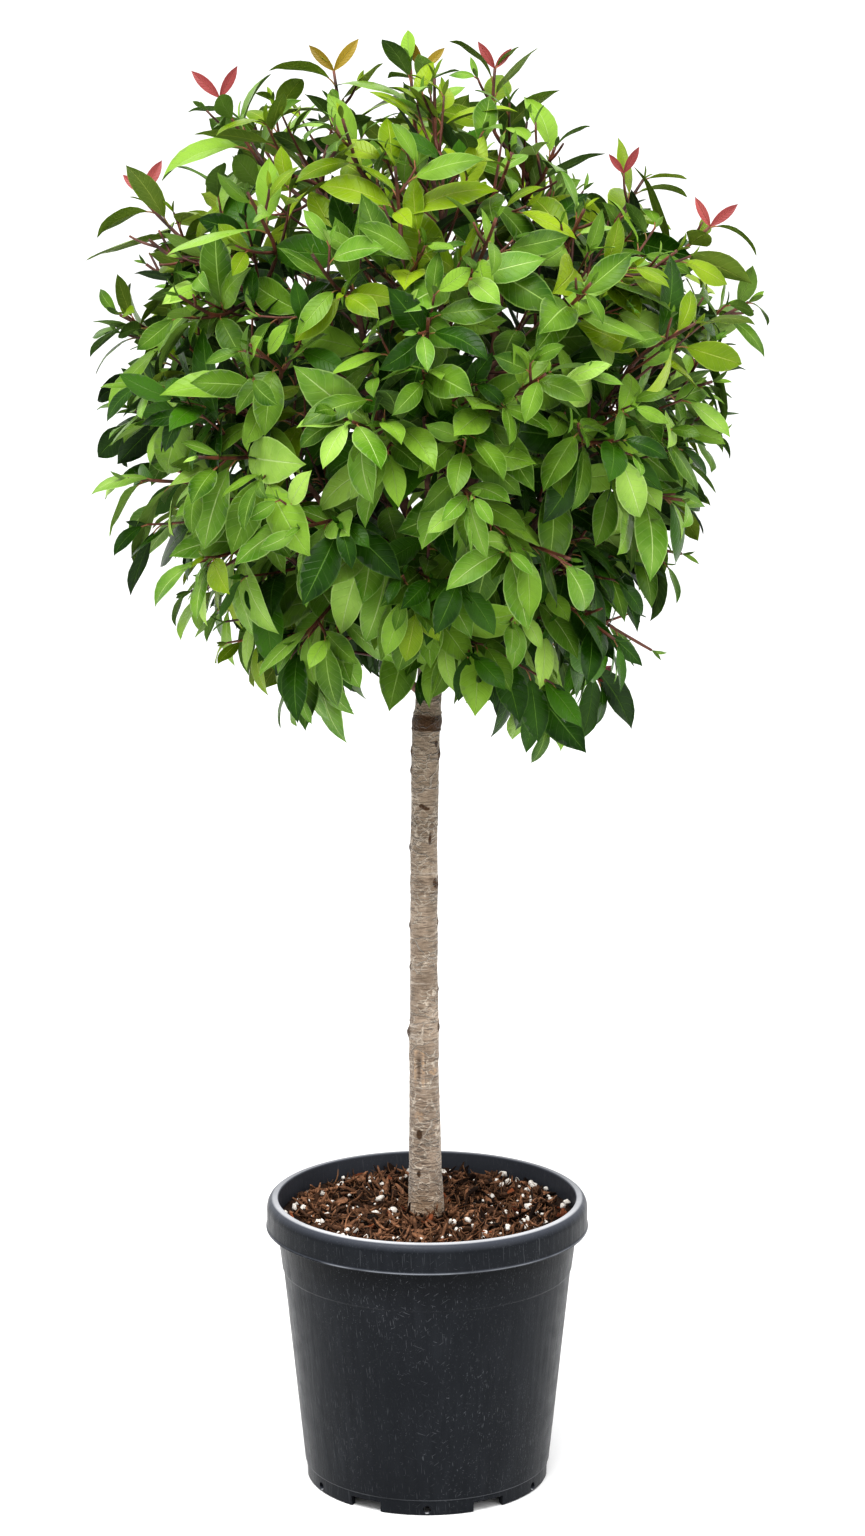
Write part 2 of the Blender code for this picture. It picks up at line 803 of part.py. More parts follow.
def grow_mass(plan, shoots, space, template, section, collection):
    """One mass: its stem, the twigs to the shoots in its cell, and the leaves round them."""
    stem = plan["stem"]
    radii = taper(BOUGH_TIP_RADIUS, STEM_TIP_RADIUS, len(stem))
    mass = tube(plan["mass"], stem, radii, collection, section=section)
    pieces = new_collection(plan["mass"] + " pieces")
    draw = random.Random(f"{SEED} {plan['mass']}")
    lines = [stem] + grow_twigs(stem, shoots, space, section, pieces)
    leaves = grow_leaves(lines, template, draw, space)
    for points in leaves:
        leaf = bpy.data.meshes.new("leaf")
        leaf.from_pydata(points, [], template[1])
        pieces.objects.link(bpy.data.objects.new("leaf", leaf))
    join_pieces(mass, pieces)
    green = LEAF_GREENS[plan["tier"]]
    mass.data.materials.clear()
    mass.data.materials.append(new_material(plan["mass"], green, 0.45))


def make_crown(collection):
    """The boughs, then the masses on their ends."""
    scratch = new_collection("scratch")
    section = triangle_section(scratch)
    plans = plan_crown()
    radii = [radius for _, _, radius in TRUNK_LINE]
    limbs = {"trunk": (trunk_points(), radii, TRUNK_RESOLUTION)}
    for plan in plans:
        limbs[plan["bough"]] = (plan["line"], plan["radii"], BOUGH_RESOLUTION)
        plan["stem"] = stem_line(plan)
    for plan in plans:
        make_bough(plan, limbs[plan["parent"]], collection, scratch)
    limb_tree = space_round(limbs.values(), scratch, section)
    seeds = [plan["seed_point"] for plan in plans]
    stems = {}
    for plan in plans:
        stem_radii = taper(BOUGH_TIP_RADIUS, STEM_TIP_RADIUS, len(plan["stem"]))
        stems[plan["mass"]] = space_round([(plan["stem"], stem_radii, None)], scratch, section)
    shoots = shoot_points()
    template = leaf_template()
    for plan in plans:
        obstacles = [tree for name, tree in stems.items() if name != plan["mass"]]
        space = MassSpace(plan["seed_point"], seeds, [limb_tree, *obstacles])
        grow_mass(plan, shoots, space, template, section, collection)
    bpy.data.objects.remove(section)
    bpy.data.collections.remove(scratch)


def main():
    clear_scene()
    plant = new_collection(NAME)
    make_trunk(plant)
    make_crown(plant)
    make_soil(plant)
    make_pot(plant)


main()
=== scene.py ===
"""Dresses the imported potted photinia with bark, fine foliage, loose soil and a moulded pot.

Metres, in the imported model's frame: the pot stands on z = 0 and the photograph looks along +Y.
The limbs, masses and twigs follow the rule of the solids' source, and each twig goes on to finer shoots.
"""

import json
import math
import random
from itertools import product

import bpy
import numpy as np
from mathutils import Matrix, Vector, noise
from mathutils.bvhtree import BVHTree

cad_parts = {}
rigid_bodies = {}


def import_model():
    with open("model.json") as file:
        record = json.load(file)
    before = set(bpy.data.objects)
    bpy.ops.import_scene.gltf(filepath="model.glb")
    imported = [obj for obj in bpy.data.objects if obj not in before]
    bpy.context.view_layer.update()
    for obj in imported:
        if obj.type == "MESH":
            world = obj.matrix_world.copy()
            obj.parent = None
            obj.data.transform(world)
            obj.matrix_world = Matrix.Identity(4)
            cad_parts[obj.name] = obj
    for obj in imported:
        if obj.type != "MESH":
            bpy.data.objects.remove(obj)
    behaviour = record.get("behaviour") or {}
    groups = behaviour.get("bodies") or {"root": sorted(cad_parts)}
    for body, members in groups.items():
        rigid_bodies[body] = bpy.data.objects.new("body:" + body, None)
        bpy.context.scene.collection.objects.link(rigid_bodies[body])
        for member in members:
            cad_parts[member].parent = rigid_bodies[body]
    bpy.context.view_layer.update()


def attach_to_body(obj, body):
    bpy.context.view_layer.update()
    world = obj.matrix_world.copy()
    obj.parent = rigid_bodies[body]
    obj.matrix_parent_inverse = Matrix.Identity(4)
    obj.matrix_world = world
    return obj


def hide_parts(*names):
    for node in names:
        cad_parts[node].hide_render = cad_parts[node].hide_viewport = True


SEED = 13
GAP = 0.0003
GOLDEN_ANGLE = math.radians(137.5)
UP = Vector((0, 0, 1))
ASIDE = Vector((0.3, 1, 0.2))
NEARLY_ALONG_X = 0.7

# The camera that the photograph's perspective gives, and the lights: place, target, size, power
CAMERA_PLACE = (0.0053, -3.3, 1.3305)
CAMERA_PITCH = math.radians(10.52)
CAMERA_LENS = 81.1
CAMERA_SENSOR = 36
FLOOR_SIZE = 60
FLOOR_DROP = 0.0005
FLOOR_WHITE = 0.96
WORLD_STRENGTH = 1.06
LIGHTS = {
    "key": ((-0.7, -1.7, 4.1), (0, 0, 0.9), (2.8, 2.0), 160),
    "fill": ((2.6, -2.0, 1.8), (0, 0, 0.8), (1.2, 2.0), 25),
}

# The pot
LATHE_STEPS = 160
POT_WALL = 0.003
RIM_RADIUS = 0.160
RIM_INNER_RADIUS = 0.1475
RIM_TOP = 0.2865
RIM_BOTTOM = 0.257
RIM_BEAD = 0.0010
RIM_BEAD_HEIGHT = 0.0030
RIM_SHOULDER = (0.0075, 0.0105)
RIM_STEPS = 9
COLLAR_TOP_RADIUS = 0.149
COLLAR_LOW_RADIUS = 0.144
COLLAR_BOTTOM = 0.216
COLLAR_STEP = 0.0011
BODY_LOW_RADIUS = 0.1224
FOOT_BAND = 0.016
FOOT_BAND_STEP = (0.0004, 0.0012)
FOOT_RADIUS = 0.1206
FOOT_WIDTH = 0.006
BASE_UNDERSIDE = 0.012
BASE_TOP = 0.015
NOTCHES = 6
NOTCH_WIDTH = 0.033
NOTCH_HEIGHT = 0.010
FOOT_HOLE_RADIUS = 0.004
FOOT_HOLE_HEIGHT = 0.0055
DRAIN_HOLE_RADIUS = 0.007
DRAIN_HOLE_CIRCLE = 0.085
HOLE_SIDES = 24
POT_EDGE_ANGLE = math.radians(38)
LIP_FILLET = 0.002
BODY_FILLET = 0.0012
FILLET_STEPS = 5
FILLET_LIMIT = 0.45

# The soil: a rough surface with loose bark strips, fibres and white grains on it
SOIL_TOP = 0.2655
SOIL_RADIUS = 0.1461
SOIL_RINGS = 56
SOIL_SECTORS = 168
SOIL_ROUGHNESS = 0.0018
SOIL_MOUND = (0.0015, 0.04)
# Waves of the rough soil: scale, share of the roughness, level in the noise
SOIL_WAVES = ((45, 1.0, 0), (130, 0.5, 3))
# name, look, pieces, length, width, thickness, bend in radians
STRIPS = (
    ("bark_strips", "bark strip", 1150, (0.018, 0.044), (0.0018, 0.0050), (0.0009, 0.0020), (0.8, 2.9)),
    ("bark_chips", "bark strip", 150, (0.009, 0.021), (0.006, 0.013), (0.0015, 0.0035), (0.2, 0.9)),
    ("red_bark_chips", "red bark chip", 44, (0.010, 0.020), (0.005, 0.011), (0.001, 0.0025), (0.2, 0.9)),
    ("soil_fibres", "soil fibre", 640, (0.016, 0.044), (0.0008, 0.0017), (0.0006, 0.0012), (1.2, 4.6)),
)
STRIP_SECTIONS = 7
STRIP_END = 0.45
STRIP_WIDTH_VARIES = (0.7, 1.15)
STRIP_DEPTH_VARIES = (0.7, 1.2)
STRIP_WANDER = 0.15
STRIP_EDGE = 0.001
STRIP_INSET = 0.45
STRIP_RISE = 0.0055
STRIP_SETTLING = 1.5
STRIP_TILT = 0.30
STRIP_ROLL = 1.10
GRAINS = 190
GRAIN_SIZE = (0.0028, 0.0090)
GRAIN_RARITY = 2.5
GRAIN_EDGE = 0.003
GRAIN_STRETCH = (0.7, 1.3)
GRAIN_LIFT = (0.55, 1.15)
GRAIN_ROUGHNESS = 0.5
GRAIN_LUMPS = 1.3
GRAIN_RINGS = 6
GRAIN_SIDES = 9

# The trunk: height, sideways lean of its middle, and radius
TRUNK_LINE = (
    (0.2620, -0.001, 0.0188),
    (0.2703, -0.001, 0.0184),
    (0.285, -0.001, 0.0175),
    (0.310, -0.0015, 0.0165),
    (0.350, -0.002, 0.0155),
    (0.420, -0.003, 0.0147),
    (0.520, -0.003, 0.0137),
    (0.640, -0.003, 0.0132),
    (0.752, -0.001, 0.0134),
    (0.764, 0.0, 0.0141),
    (0.778, 0.001, 0.0126),
    (0.850, 0.006, 0.0115),
    (0.930, 0.0115, 0.0102),
    (0.948, 0.0125, 0.0085),
    (0.956, 0.013, 0.0050),
)
TRUNK_RINGS = 580
TRUNK_SIDES = 84
# The bark's relief: height and scale of its swells, of its grain and of its net of cracks
BARK_SWELL = (0.00055, 28)
BARK_GRAIN = (0.00022, 120)
BARK_NET = (0.00022, 260)
BARK_NET_SQUEEZE = 0.55
BARK_NET_SHARPNESS = 5
RING_WOBBLE = (0.0016, 60)
# Marks on the bark: height, azimuth from the front, half height, half width, lift, darkness
BARK_MARKS = (
    (0.419, -20, 0.0150, 0.0022, -0.0012, 0.42),
    (0.418, -4, 0.0170, 0.0019, 0.0018, -0.70),
    (0.420, -36, 0.0150, 0.0019, 0.0016, -0.55),
    (0.418, 4, 0.0150, 0.0008, -0.0004, 0.50),
    (0.420, -45, 0.0120, 0.0008, -0.0004, 0.40),
    (0.436, -20, 0.0030, 0.0055, 0.0014, -0.35),
    (0.417, 42, 0.0048, 0.0050, 0.0022, -0.6),
    (0.372, -22, 0.0048, 0.0045, 0.0010, -0.5),
    (0.353, -21, 0.0066, 0.0046, 0.0010, 0.15),
    (0.353, -21, 0.0044, 0.0024, -0.0016, 1.3),
    (0.3127, -24, 0.0030, 0.0018, -0.0006, 1.3),
    (0.4545, -84, 0.0055, 0.0045, 0.0025, 1.2),
    (0.4545, -50, 0.0020, 0.0070, 0.0006, 0.2),
    (0.460, 80, 0.0045, 0.0035, 0.0014, 1.1),
    (0.6826, -14, 0.0014, 0.0022, 0.0007, 1.5),
    (0.6812, -2, 0.0012, 0.0022, 0.0007, 1.5),
    (0.6797, 10, 0.0013, 0.0024, 0.0007, 1.5),
    (0.650, 26, 0.0050, 0.0014, 0.0006, 1.4),
    (0.732, 74, 0.0050, 0.0030, 0.0015, 1.1),
    (0.743, 50, 0.0030, 0.0020, 0.0010, 1.4),
    (0.606, 50, 0.0030, 0.0022, 0.0010, 1.4),
    (0.735, -78, 0.0045, 0.0030, 0.0014, 0.9),
    (0.716, -80, 0.0040, 0.0028, 0.0014, 0.9),
    (0.640, -82, 0.0040, 0.0028, 0.0014, 0.9),
    (0.603, 62, 0.0030, 0.0035, 0.0014, 1.1),
    (0.565, 84, 0.0035, 0.0025, 0.0012, 0.9),
    (0.562, -80, 0.0035, 0.0025, 0.0012, 0.9),
    (0.520, -82, 0.0030, 0.0025, 0.0011, 1.0),
    (0.498, 80, 0.0030, 0.0025, 0.0011, 0.9),
    (0.700, 170, 0.0050, 0.0035, 0.0014, 0.8),
    (0.560, 150, 0.0045, 0.0030, 0.0012, 0.7),
    (0.440, -150, 0.0060, 0.0035, 0.0014, 0.8),
    (0.350, 140, 0.0045, 0.0030, 0.0012, 0.8),
)
# Rings right round the bark: height, half height, lift, darkness
BARK_RINGS = (
    (0.7640, 0.0078, 0.0009, 1.05),
    (0.7725, 0.0010, 0.0008, -0.30),
    (0.7560, 0.0009, 0.0008, 0.30),
    (0.603, 0.0070, 0.0006, 0.24),
    (0.6105, 0.0010, 0.0004, 0.35),
    (0.5955, 0.0010, 0.0004, 0.35),
    (0.466, 0.0012, 0.0005, -0.14),
    (0.430, 0.0030, 0.0005, 0.10),
    (0.388, 0.0014, 0.0004, -0.12),
    (0.345, 0.0012, 0.0004, -0.12),
    (0.545, 0.0012, 0.0004, -0.10),
    (0.662, 0.0012, 0.0004, 0.22),
    (0.703, 0.0012, 0.0005, -0.14),
)
MARK_REACH = 9
MARK_SOFTNESS = 1.5

# The crown is an ellipsoid of two unlike halves, with bulges and hollows in its front outline
CROWN_MIDDLE = Vector((0.0005, 0, 1.12))
CROWN_RADIUS = 0.336
CROWN_ABOVE = 0.300
CROWN_BELOW = 0.380
# angle in the front view from +X, spread of the angle, share of the reach
OUTLINE_BULGES = ((151, 20, 0.10), (48, 17, -0.16), (-15, 22, -0.06), (-62, 12, 0.05), (6, 8, 0.07))

# Tiers of masses: name, masses, azimuth of the first, latitude, height where the bough leaves the
# trunk, share of the way at which the bough ends, and radius of the bough's foot
TIERS = (
    ("low", 6, 30, -46, 0.800, 0.55, 0.0040),
    ("middle", 7, 12, -8, 0.858, 0.74, 0.0048),
    ("upper", 6, 24, 24, None, 0.62, None),
    ("top", 4, 8, 62, 0.905, 0.74, 0.0060),
)
SEED_DEPTH = 0.80
ATTACH_SPREAD = 0.014
LEADER_SHARES = (0.42, 0.58)
FORK_SHARE = 0.74

# The limbs' lines: the pulls are shares of a line's length, and the rises are angles above level
TARGET_INSETS = 1.35
LEADER_RISE = math.radians(62)
BOUGH_RISE = math.radians(38)
FORK_RISE = math.radians(35)
BOUGH_START_PULL = 0.4
BOUGH_END_PULL = 0.35
BOUGH_END_LIFT = 0.1
BOUGH_TIP_RADIUS = 0.0024
BOUGH_RINGS = 36
BOUGH_SIDES = 14
BOUGH_COLLAR = 0.35
BOUGH_COLLAR_RADII = 4
BOUGH_UNEVENNESS = 0.10
BOUGH_GRAIN = 90
BOUGH_GRAIN_REACH = 0.6
STEM_START_PULL = 0.3
STEM_END_PULL = 0.3
STEM_TIP_RADIUS = 0.0013
STEM_RINGS = 16

# The shoots at the ends of the twigs
SHOOTS = 84
LOWEST_LATITUDE = math.radians(-72)
SHOOT_INSET = 0.084
# angle in the front view, depth off the middle, share of the reach of the shoots that stand out
TALL_SHOOTS = (
    (151, 0.02, 1.02),
    (128, -0.05, 1.02),
    (109, 0.03, 1.02),
    (93, -0.03, 1.05),
    (76, 0.02, 1.04),
    (60, -0.05, 1.04),
    (38, 0.04, 1.08),
    (24, -0.03, 1.06),
    (7, 0.02, 1.04),
)
SHOOT_SPACING = 0.066
TWIG_RADIUS = 0.0023
TWIG_TIP_RADIUS = 0.0014
TWIG_RINGS = 12
TWIG_SIDES = 7
TWIG_SLANT = 0.9
TWIG_PLACES = (0.06, 0.97)
TWIG_PULL = 0.35
TWIG_END_LIFT = 0.35
TWIG_NODE_SWELL = 0.14
TWIG_NODE_TURN = 2.1
TWIG_GROWTH = (0.030, 0.052)
GROWTH_OUTWARD = 0.6
GROWTH_UPWARD = 0.3
GROWTH_GAIN = 4.0
LEAST_GROWTH = 0.3
GROWTH_RINGS = 6

# Finer shoots that leave each twig, stem and bough in turn round it: how many, and where they start
TWIG_SHOOTS = (3, (0.30, 0.78))
STEM_SHOOTS = (6, (0.08, 0.92))
BOUGH_SHOOTS = (5, (0.40, 0.95))
SIDE_ANGLE = (34, 58)
SIDE_LENGTH = (0.060, 0.115)
SIDE_SHRINK = 0.85
SIDE_AHEAD = 0.1
SIDE_RADIUS = 0.0016
SIDE_TIP_RADIUS = 0.0010
SIDE_RINGS = 7
SIDE_SIDES = 5
SIDE_LIFT = 0.45
SIDE_DEPTH = 0.82

# A leaf: share of its length, share of its half width
LEAF_OUTLINE = (
    (0.0, 0.0),
    (0.05, 0.15),
    (0.14, 0.46),
    (0.26, 0.77),
    (0.40, 0.97),
    (0.54, 1.0),
    (0.67, 0.88),
    (0.79, 0.63),
    (0.88, 0.35),
    (0.95, 0.12),
    (1.0, 0.0),
)
LEAF_LANES = (-1.0, -0.55, 0.0, 0.55, 1.0)
LEAF_LENGTH = 0.069
LEAF_SIZES = (0.72, 1.34)
LEAF_WIDTH = (0.182, 0.238)
LEAF_THICKNESS = 0.0005
LEAF_EDGE_THINNING = 0.7
LEAF_EDGE_ANGLE = math.radians(70)
LEAVES_A_PIECE = 1200
LEAF_FOLD = (0.18, 0.58)
LEAF_FLATTENING = 1.6
LEAF_BEND = (0.30, 1.10)
LEAF_ROLL = 0.75
LOW_ROLL_LOSS = 0.45
LEAF_TWIST = 0.35
LEAF_WAVE = 0.05
LEAF_WAVE_TURN = 9
PETIOLE = 0.15
PETIOLE_RADIUS = 0.00065
PETIOLE_FOOT = 1.3
PETIOLE_SIDES = 4
PETIOLE_RINGS = 4
SHORTEST_PETIOLE = 0.003
PETIOLE_SINK = 0.0006
PETIOLE_START_PULL = 0.4
PETIOLE_END_PULL = 0.3
PETIOLE_OVERLAP = 0.05

# The leaves of a shoot, from its tip back
TWIG_LEAVES = 7
SIDE_LEAVES = 5
TIP_STEP = 0.002
LEAF_STEP = 0.0145
STEP_VARIES = (0.85, 1.2)
TIP_LEAF_SIZE = 0.66
LEAF_SIZE_GAIN = 0.12
LEAVING_AHEAD = 0.6
LEAF_SPREAD = (24, 48)
LEAF_OPENING = 8
LEAF_OUTWARD = 0.34
LEAF_FACES_OUT = 0.75
LEAF_FACES_UP = (0.45, 0.95)
HANG = 0.65
HANG_VARIES = (-0.1, 0.15)
HANG_START = 0.16
HANG_SPAN = 0.4
# How far a shoot's leaves may reach: low in the crown, high in it, and on the tall shoots
LOW_LIMITS = (0.88, 1.01)
HIGH_LIMITS = (0.81, 0.95)
TALL_LIMIT = 1.02
TALL_LEAVES = 6
# Where the crown is thinner or fuller: angle and half width in the front view, change of the reach
REACH_CHANGES = (
    (55, 10, -0.34),
    (42, 9, -0.20),
    (99, 6, -0.22),
    (119, 8, 0.15),
    (136, 9, 0.20),
    (83, 6, 0.07),
    (158, 10, -0.27),
    (18, 9, -0.07),
    (183, 11, 0.06),
    (214, 13, 0.18),
    (242, 15, 0.15),
    (295, 11, 0.26),
    (274, 7, -0.06),
    (322, 9, 0.06),
    (347, 10, 0.06),
)
# Above this height each shoot has one leaf less, and above the next step two
OPEN_HEIGHT = 1.12
OPEN_STEP = 0.13
# A leaf that touches another is tried again, wider and smaller, by a rough shape of five points
LEAF_TRIES = 6
TRY_SPREAD = 25
TRY_SHRINK = 0.25
CLEAR_SIZE = 0.09
ROUGH_FOOT = 0.12
ROUGH_MIDDLE = 0.45
ROUGH_WIDTH = 0.42
ROUGH_FACES = ((0, 1, 2), (0, 2, 3), (1, 4, 2), (2, 4, 3))

# Pairs of young leaves at the tips where the photograph shows them: front place across and up
YOUNG_TIPS = (
    ("red", -0.273, 1.283),
    ("red", -0.198, 1.371),
    ("red", 0.080, 1.389),
    ("red", 0.182, 1.269),
    ("red", 0.252, 1.236),
    ("red", 0.158, 0.800),
    ("gold", -0.129, 1.398),
    ("gold", 0.012, 1.402),
)
YOUNG_DEPTH_WEIGHT = 0.5
YOUNG_LENGTH = 0.042
YOUNG_SIZES = (0.55, 1.15)
YOUNG_SHAPE = {"width": 0.135, "fold": 0.5, "bend": 0.4, "twist": 0.0, "phase": 0.0}
YOUNG_SPREAD = (0.25, 0.90)
YOUNG_FACING = (0.3, -1, 0.4)
BUD_LENGTH = 0.020
BUD_SPREAD = 0.3
BUD_FACING = 1.2
SMALL_LEAF_SINK = 0.001

# Leaf tints: two greens that a leaf varies between, its ribs, and the name of a finish
LEAF_TINTS = {
    "fresh": ((0.046, 0.140, 0.001), (0.300, 0.470, 0.086), (0.46, 0.60, 0.24), "foliage_low"),
    "olive": ((0.076, 0.144, 0.001), (0.230, 0.330, 0.014), (0.36, 0.44, 0.09), "foliage_top"),
    "green": ((0.013, 0.054, 0.000), (0.185, 0.325, 0.034), (0.30, 0.44, 0.12), "foliage_upper"),
    "deep": ((0.002, 0.018, 0.000), (0.040, 0.118, 0.005), (0.10, 0.20, 0.03), "foliage_middle"),
    "red": ((0.155, 0.024, 0.026), (0.330, 0.078, 0.074), (0.40, 0.15, 0.11), "foliage_top"),
    "gold": ((0.130, 0.090, 0.006), (0.240, 0.165, 0.016), (0.36, 0.29, 0.08), "foliage_top"),
}
# Share of each tint: at the crown's middle height, its gain with height, its gain below there
TINT_SHARES = {
    "fresh": (0.27, -0.12, 0.0),
    # olive's gain with height is partly the top leaves' yellower hue and partly painted light on the lit
    # top of the crown
    "olive": (0.17, 0.85, 0.0),
    "green": (0.50, 0.0, 0.14),
    "deep": (0.26, -0.34, -0.16),
}
LEAST_OLIVE = 0.08
# Painted shade inside the crown: the deep leaves' share at its middle, and the loss towards its surface
PAINTED_SHADE_INSIDE = (2.30, 2.50)
# Roughness of a leaf's two sides, and how strongly its side veins show
UPPER_FINISH = (0.29, 0.12)
UNDER_FINISH = (0.62, 0.22)
LEAF_SHINE = 0.14
UNDERSIDE_SHADE = 0.8
UNDERSIDE_BLOOM = 0.02

# Young wood: a dark and a light colour, and roughness
YOUNG_BARK = ((0.034, 0.010, 0.006), (0.150, 0.044, 0.022), 0.55)
BOUGH_BARK = ((0.070, 0.030, 0.022), (0.200, 0.095, 0.062), 0.68)
LEAF_STALK = ((0.190, 0.130, 0.030), (0.330, 0.120, 0.060), 0.50)
PALE_SPOTS = (0.34, 0.22, 0.16)
# Old bark and soil: a dark and a light colour
TRUNK_BARK = ((0.185, 0.137, 0.099), (0.390, 0.305, 0.234))
SOIL = ((0.010, 0.006, 0.004), (0.055, 0.028, 0.016))
PERLITE = ((0.55, 0.50, 0.44), (0.86, 0.83, 0.78))
STRIP_COLOURS = {
    "bark strip": ((0.008, 0.0034, 0.0018), (0.400, 0.200, 0.110)),
    "red bark chip": ((0.080, 0.022, 0.009), (0.340, 0.110, 0.045)),
    "soil fibre": ((0.060, 0.026, 0.012), (0.320, 0.175, 0.095)),
}
# What lies over the trunk's bark, from the bottom up: strength and colour
BARK_LAYERS = {
    "upright streaks": (0.38, (0.115, 0.084, 0.056)),
    "net of cracks": (0.70, (0.72, 0.63, 0.52)),
    "stripes across": (0.70, (0.056, 0.038, 0.026)),
    "long lines": (0.55, (0.66, 0.57, 0.47)),
    "upper trunk": (0.42, (0.118, 0.088, 0.052)),
    "pale cross lines": (0.55, (0.58, 0.50, 0.42)),
    "foot": (0.5, (0.320, 0.205, 0.115)),
    "young wood": (1.0, (0.19, 0.115, 0.080)),
    "dark marks": (1.0, (0.046, 0.019, 0.003)),
    "scars": (0.65, (0.46, 0.31, 0.19)),
}
# The pot's plastic, and the layers over it, some of them painted light and shade: strength and colour
PLASTIC = ((0.0078, 0.0092, 0.0118), (0.0150, 0.0170, 0.0208))
PLASTIC_LAYERS = {
    # painted light: the inside wall made paler than the plastic outside
    "inside": (1.0, (0.036, 0.039, 0.047)),
    "shade under the rim": (0.95, (0.0030, 0.0036, 0.0048)),
    # painted reflection of the white sky on the upward faces
    "painted reflection on upward faces": (0.55, (0.105, 0.114, 0.140)),
    # painted highlight along the lip's top, strongest at the front
    "painted highlight on the lip": (1.0, (0.520, 0.525, 0.545)),
    # painted highlight: a pale line on the rim's bead
    "painted highlight on the rim's bead": (0.85, (0.200, 0.210, 0.230)),
    "foot's seam": (0.6, (0.105, 0.110, 0.122)),
    "scratches": (0.55, (0.12, 0.125, 0.135)),
}
# Scratches: tilt from upright in degrees, scale across and along, and how rare they are
SCRATCHES = ((6, 1200, 75, 0.755), (68, 1200, 90, 0.77), (-52, 1100, 120, 0.77), (2, 1000, 24, 0.77))


# Meshes
class Shell:
    """Points, faces, a slot for each face and a place for each point, gathered into one mesh."""

    def __init__(self):
        self.points = []
        self.faces = []
        self.slots = []
        self.places = []
        self.count = 0

    def add(self, points, faces, places=None, slots=None):
        points = np.asarray(points, dtype=float)
        self.points.append(points)
        self.faces += [tuple(index + self.count for index in face) for face in faces]
        self.places.append(np.zeros((len(points), 3)) if places is None else np.asarray(places))
        self.slots += slots or [0] * len(faces)
        self.count += len(points)

    def build(self, name, materials, place_name=None, sharp_angle=None):
        mesh = bpy.data.meshes.new(name)
        mesh.from_pydata(np.concatenate(self.points).tolist(), [], self.faces)
        for material in materials:
            mesh.materials.append(material)
        mesh.polygons.foreach_set("material_index", self.slots)
        mesh.shade_smooth()
        if sharp_angle:
            mesh.set_sharp_from_angle(angle=sharp_angle)
        if place_name:
            places = mesh.attributes.new(place_name, "FLOAT_VECTOR", "POINT")
            places.data.foreach_set("vector", np.concatenate(self.places).ravel())
        return linked(name, mesh)


def linked(name, data, collection=None):
    """A new object for some data, in the scene or in a collection."""
    obj = bpy.data.objects.new(name, data)
    (collection or bpy.context.scene.collection).objects.link(obj)
    return obj


def frames_along(line):
    """Two unit vectors across a line at each of its points, carried along without a twist."""
    ahead = np.gradient(line, axis=0)
    ahead /= np.linalg.norm(ahead, axis=1)[:, None]
    start = np.array([1.0, 0, 0]) if abs(ahead[0][0]) < NEARLY_ALONG_X else np.array([0, 1.0, 0])
    across = []
    for direction in ahead:
        start = start - direction * start.dot(direction)
        start /= np.linalg.norm(start)
        across.append(start)
    across = np.array(across)
    return across, np.cross(ahead, across)


def tube_faces(rings, sides):
    """The faces of a tube whose points go ring by ring, then the middle of each end."""
    faces = []
    end = (rings - 1) * sides
    for low in range(0, end, sides):
        for side in range(sides):
            following = (side + 1) % sides
            faces.append((low + side, low + following, low + sides + following, low + sides + side))
    first, last = rings * sides, rings * sides + 1
    for side in range(sides):
        following = (side + 1) % sides
        faces += [(first, following, side), (last, end + side, end + following)]
    return faces


def tube_points(line, radii, sides):
    """The points of a round tube. The radii are one for each point, or one for each point and side."""
    line = np.array(line)
    radii = np.array(radii)
    across, upright = frames_along(line)
    angles = np.arange(sides) * math.tau / sides
    if radii.ndim == 1:
        radii = np.repeat(radii[:, None], sides, axis=1)
    ring = across[:, None] * np.cos(angles)[None, :, None]
    ring = ring + upright[:, None] * np.sin(angles)[None, :, None]
    points = line[:, None] + ring * radii[:, :, None]
    return np.concatenate([points.reshape(-1, 3), line[:1], line[-1:]])


def add_tube(shell, line, radii, sides):
    shell.add(tube_points(line, radii, sides), tube_faces(len(line), sides))


# The rule of the crown, as in the solids' source
def bezier(start, start_pull, end_pull, end, count):
    """Points spread along a cubic curve, its ends included."""
    points = []
    for index in range(count):
        share = index / (count - 1)
        rest = 1 - share
        first_half = start * rest**3 + start_pull * 3 * rest**2 * share
        points.append(first_half + end_pull * 3 * rest * share**2 + end * share**3)
    return points


def taper(first, last, count):
    return [first + (last - first) * index / (count - 1) for index in range(count)]


def trunk_at(height):
    """The middle of the trunk at a height."""
    heights, leans, _ = zip(*TRUNK_LINE)
    return Vector((np.interp(height, heights, leans), 0, height))


def angle_between(angle, middle):
    """The angle in degrees from the middle, between -180 and 180."""
    return (angle - middle + 180) % 360 - 180


def outline_share(direction):
    """How far the crown reaches in a unit direction, as a share of the even ball."""
    flat = math.hypot(direction.x, direction.z)
    angle = math.degrees(math.atan2(direction.z, direction.x))
    share = 1.0
    for middle, spread, amount in OUTLINE_BULGES:
        share += amount * flat**3 * math.exp(-((angle_between(angle, middle) / spread) ** 2))
    return share


def half_height(above):
    """The crown's reach upwards or downwards."""
    return CROWN_ABOVE if above > 0 else CROWN_BELOW


def crown_point(direction, share=1.0):
    """The point of the crown's surface in a unit direction, or a share of the way to it."""
    height = half_height(direction.z)
    across, back = direction.x * CROWN_RADIUS, direction.y * CROWN_RADIUS
    reach = share * outline_share(direction)
    return CROWN_MIDDLE + reach * Vector((across, back, direction.z * height))


def crown_depth(point):
    """Where a point lies on the way from the crown's middle, 0, to its surface, 1."""
    offset = point - CROWN_MIDDLE
    height = half_height(offset.z)
    ball = Vector((offset.x / CROWN_RADIUS, offset.y / CROWN_RADIUS, offset.z / height))
    return ball.length / outline_share(ball.normalized()) if ball.length else 0


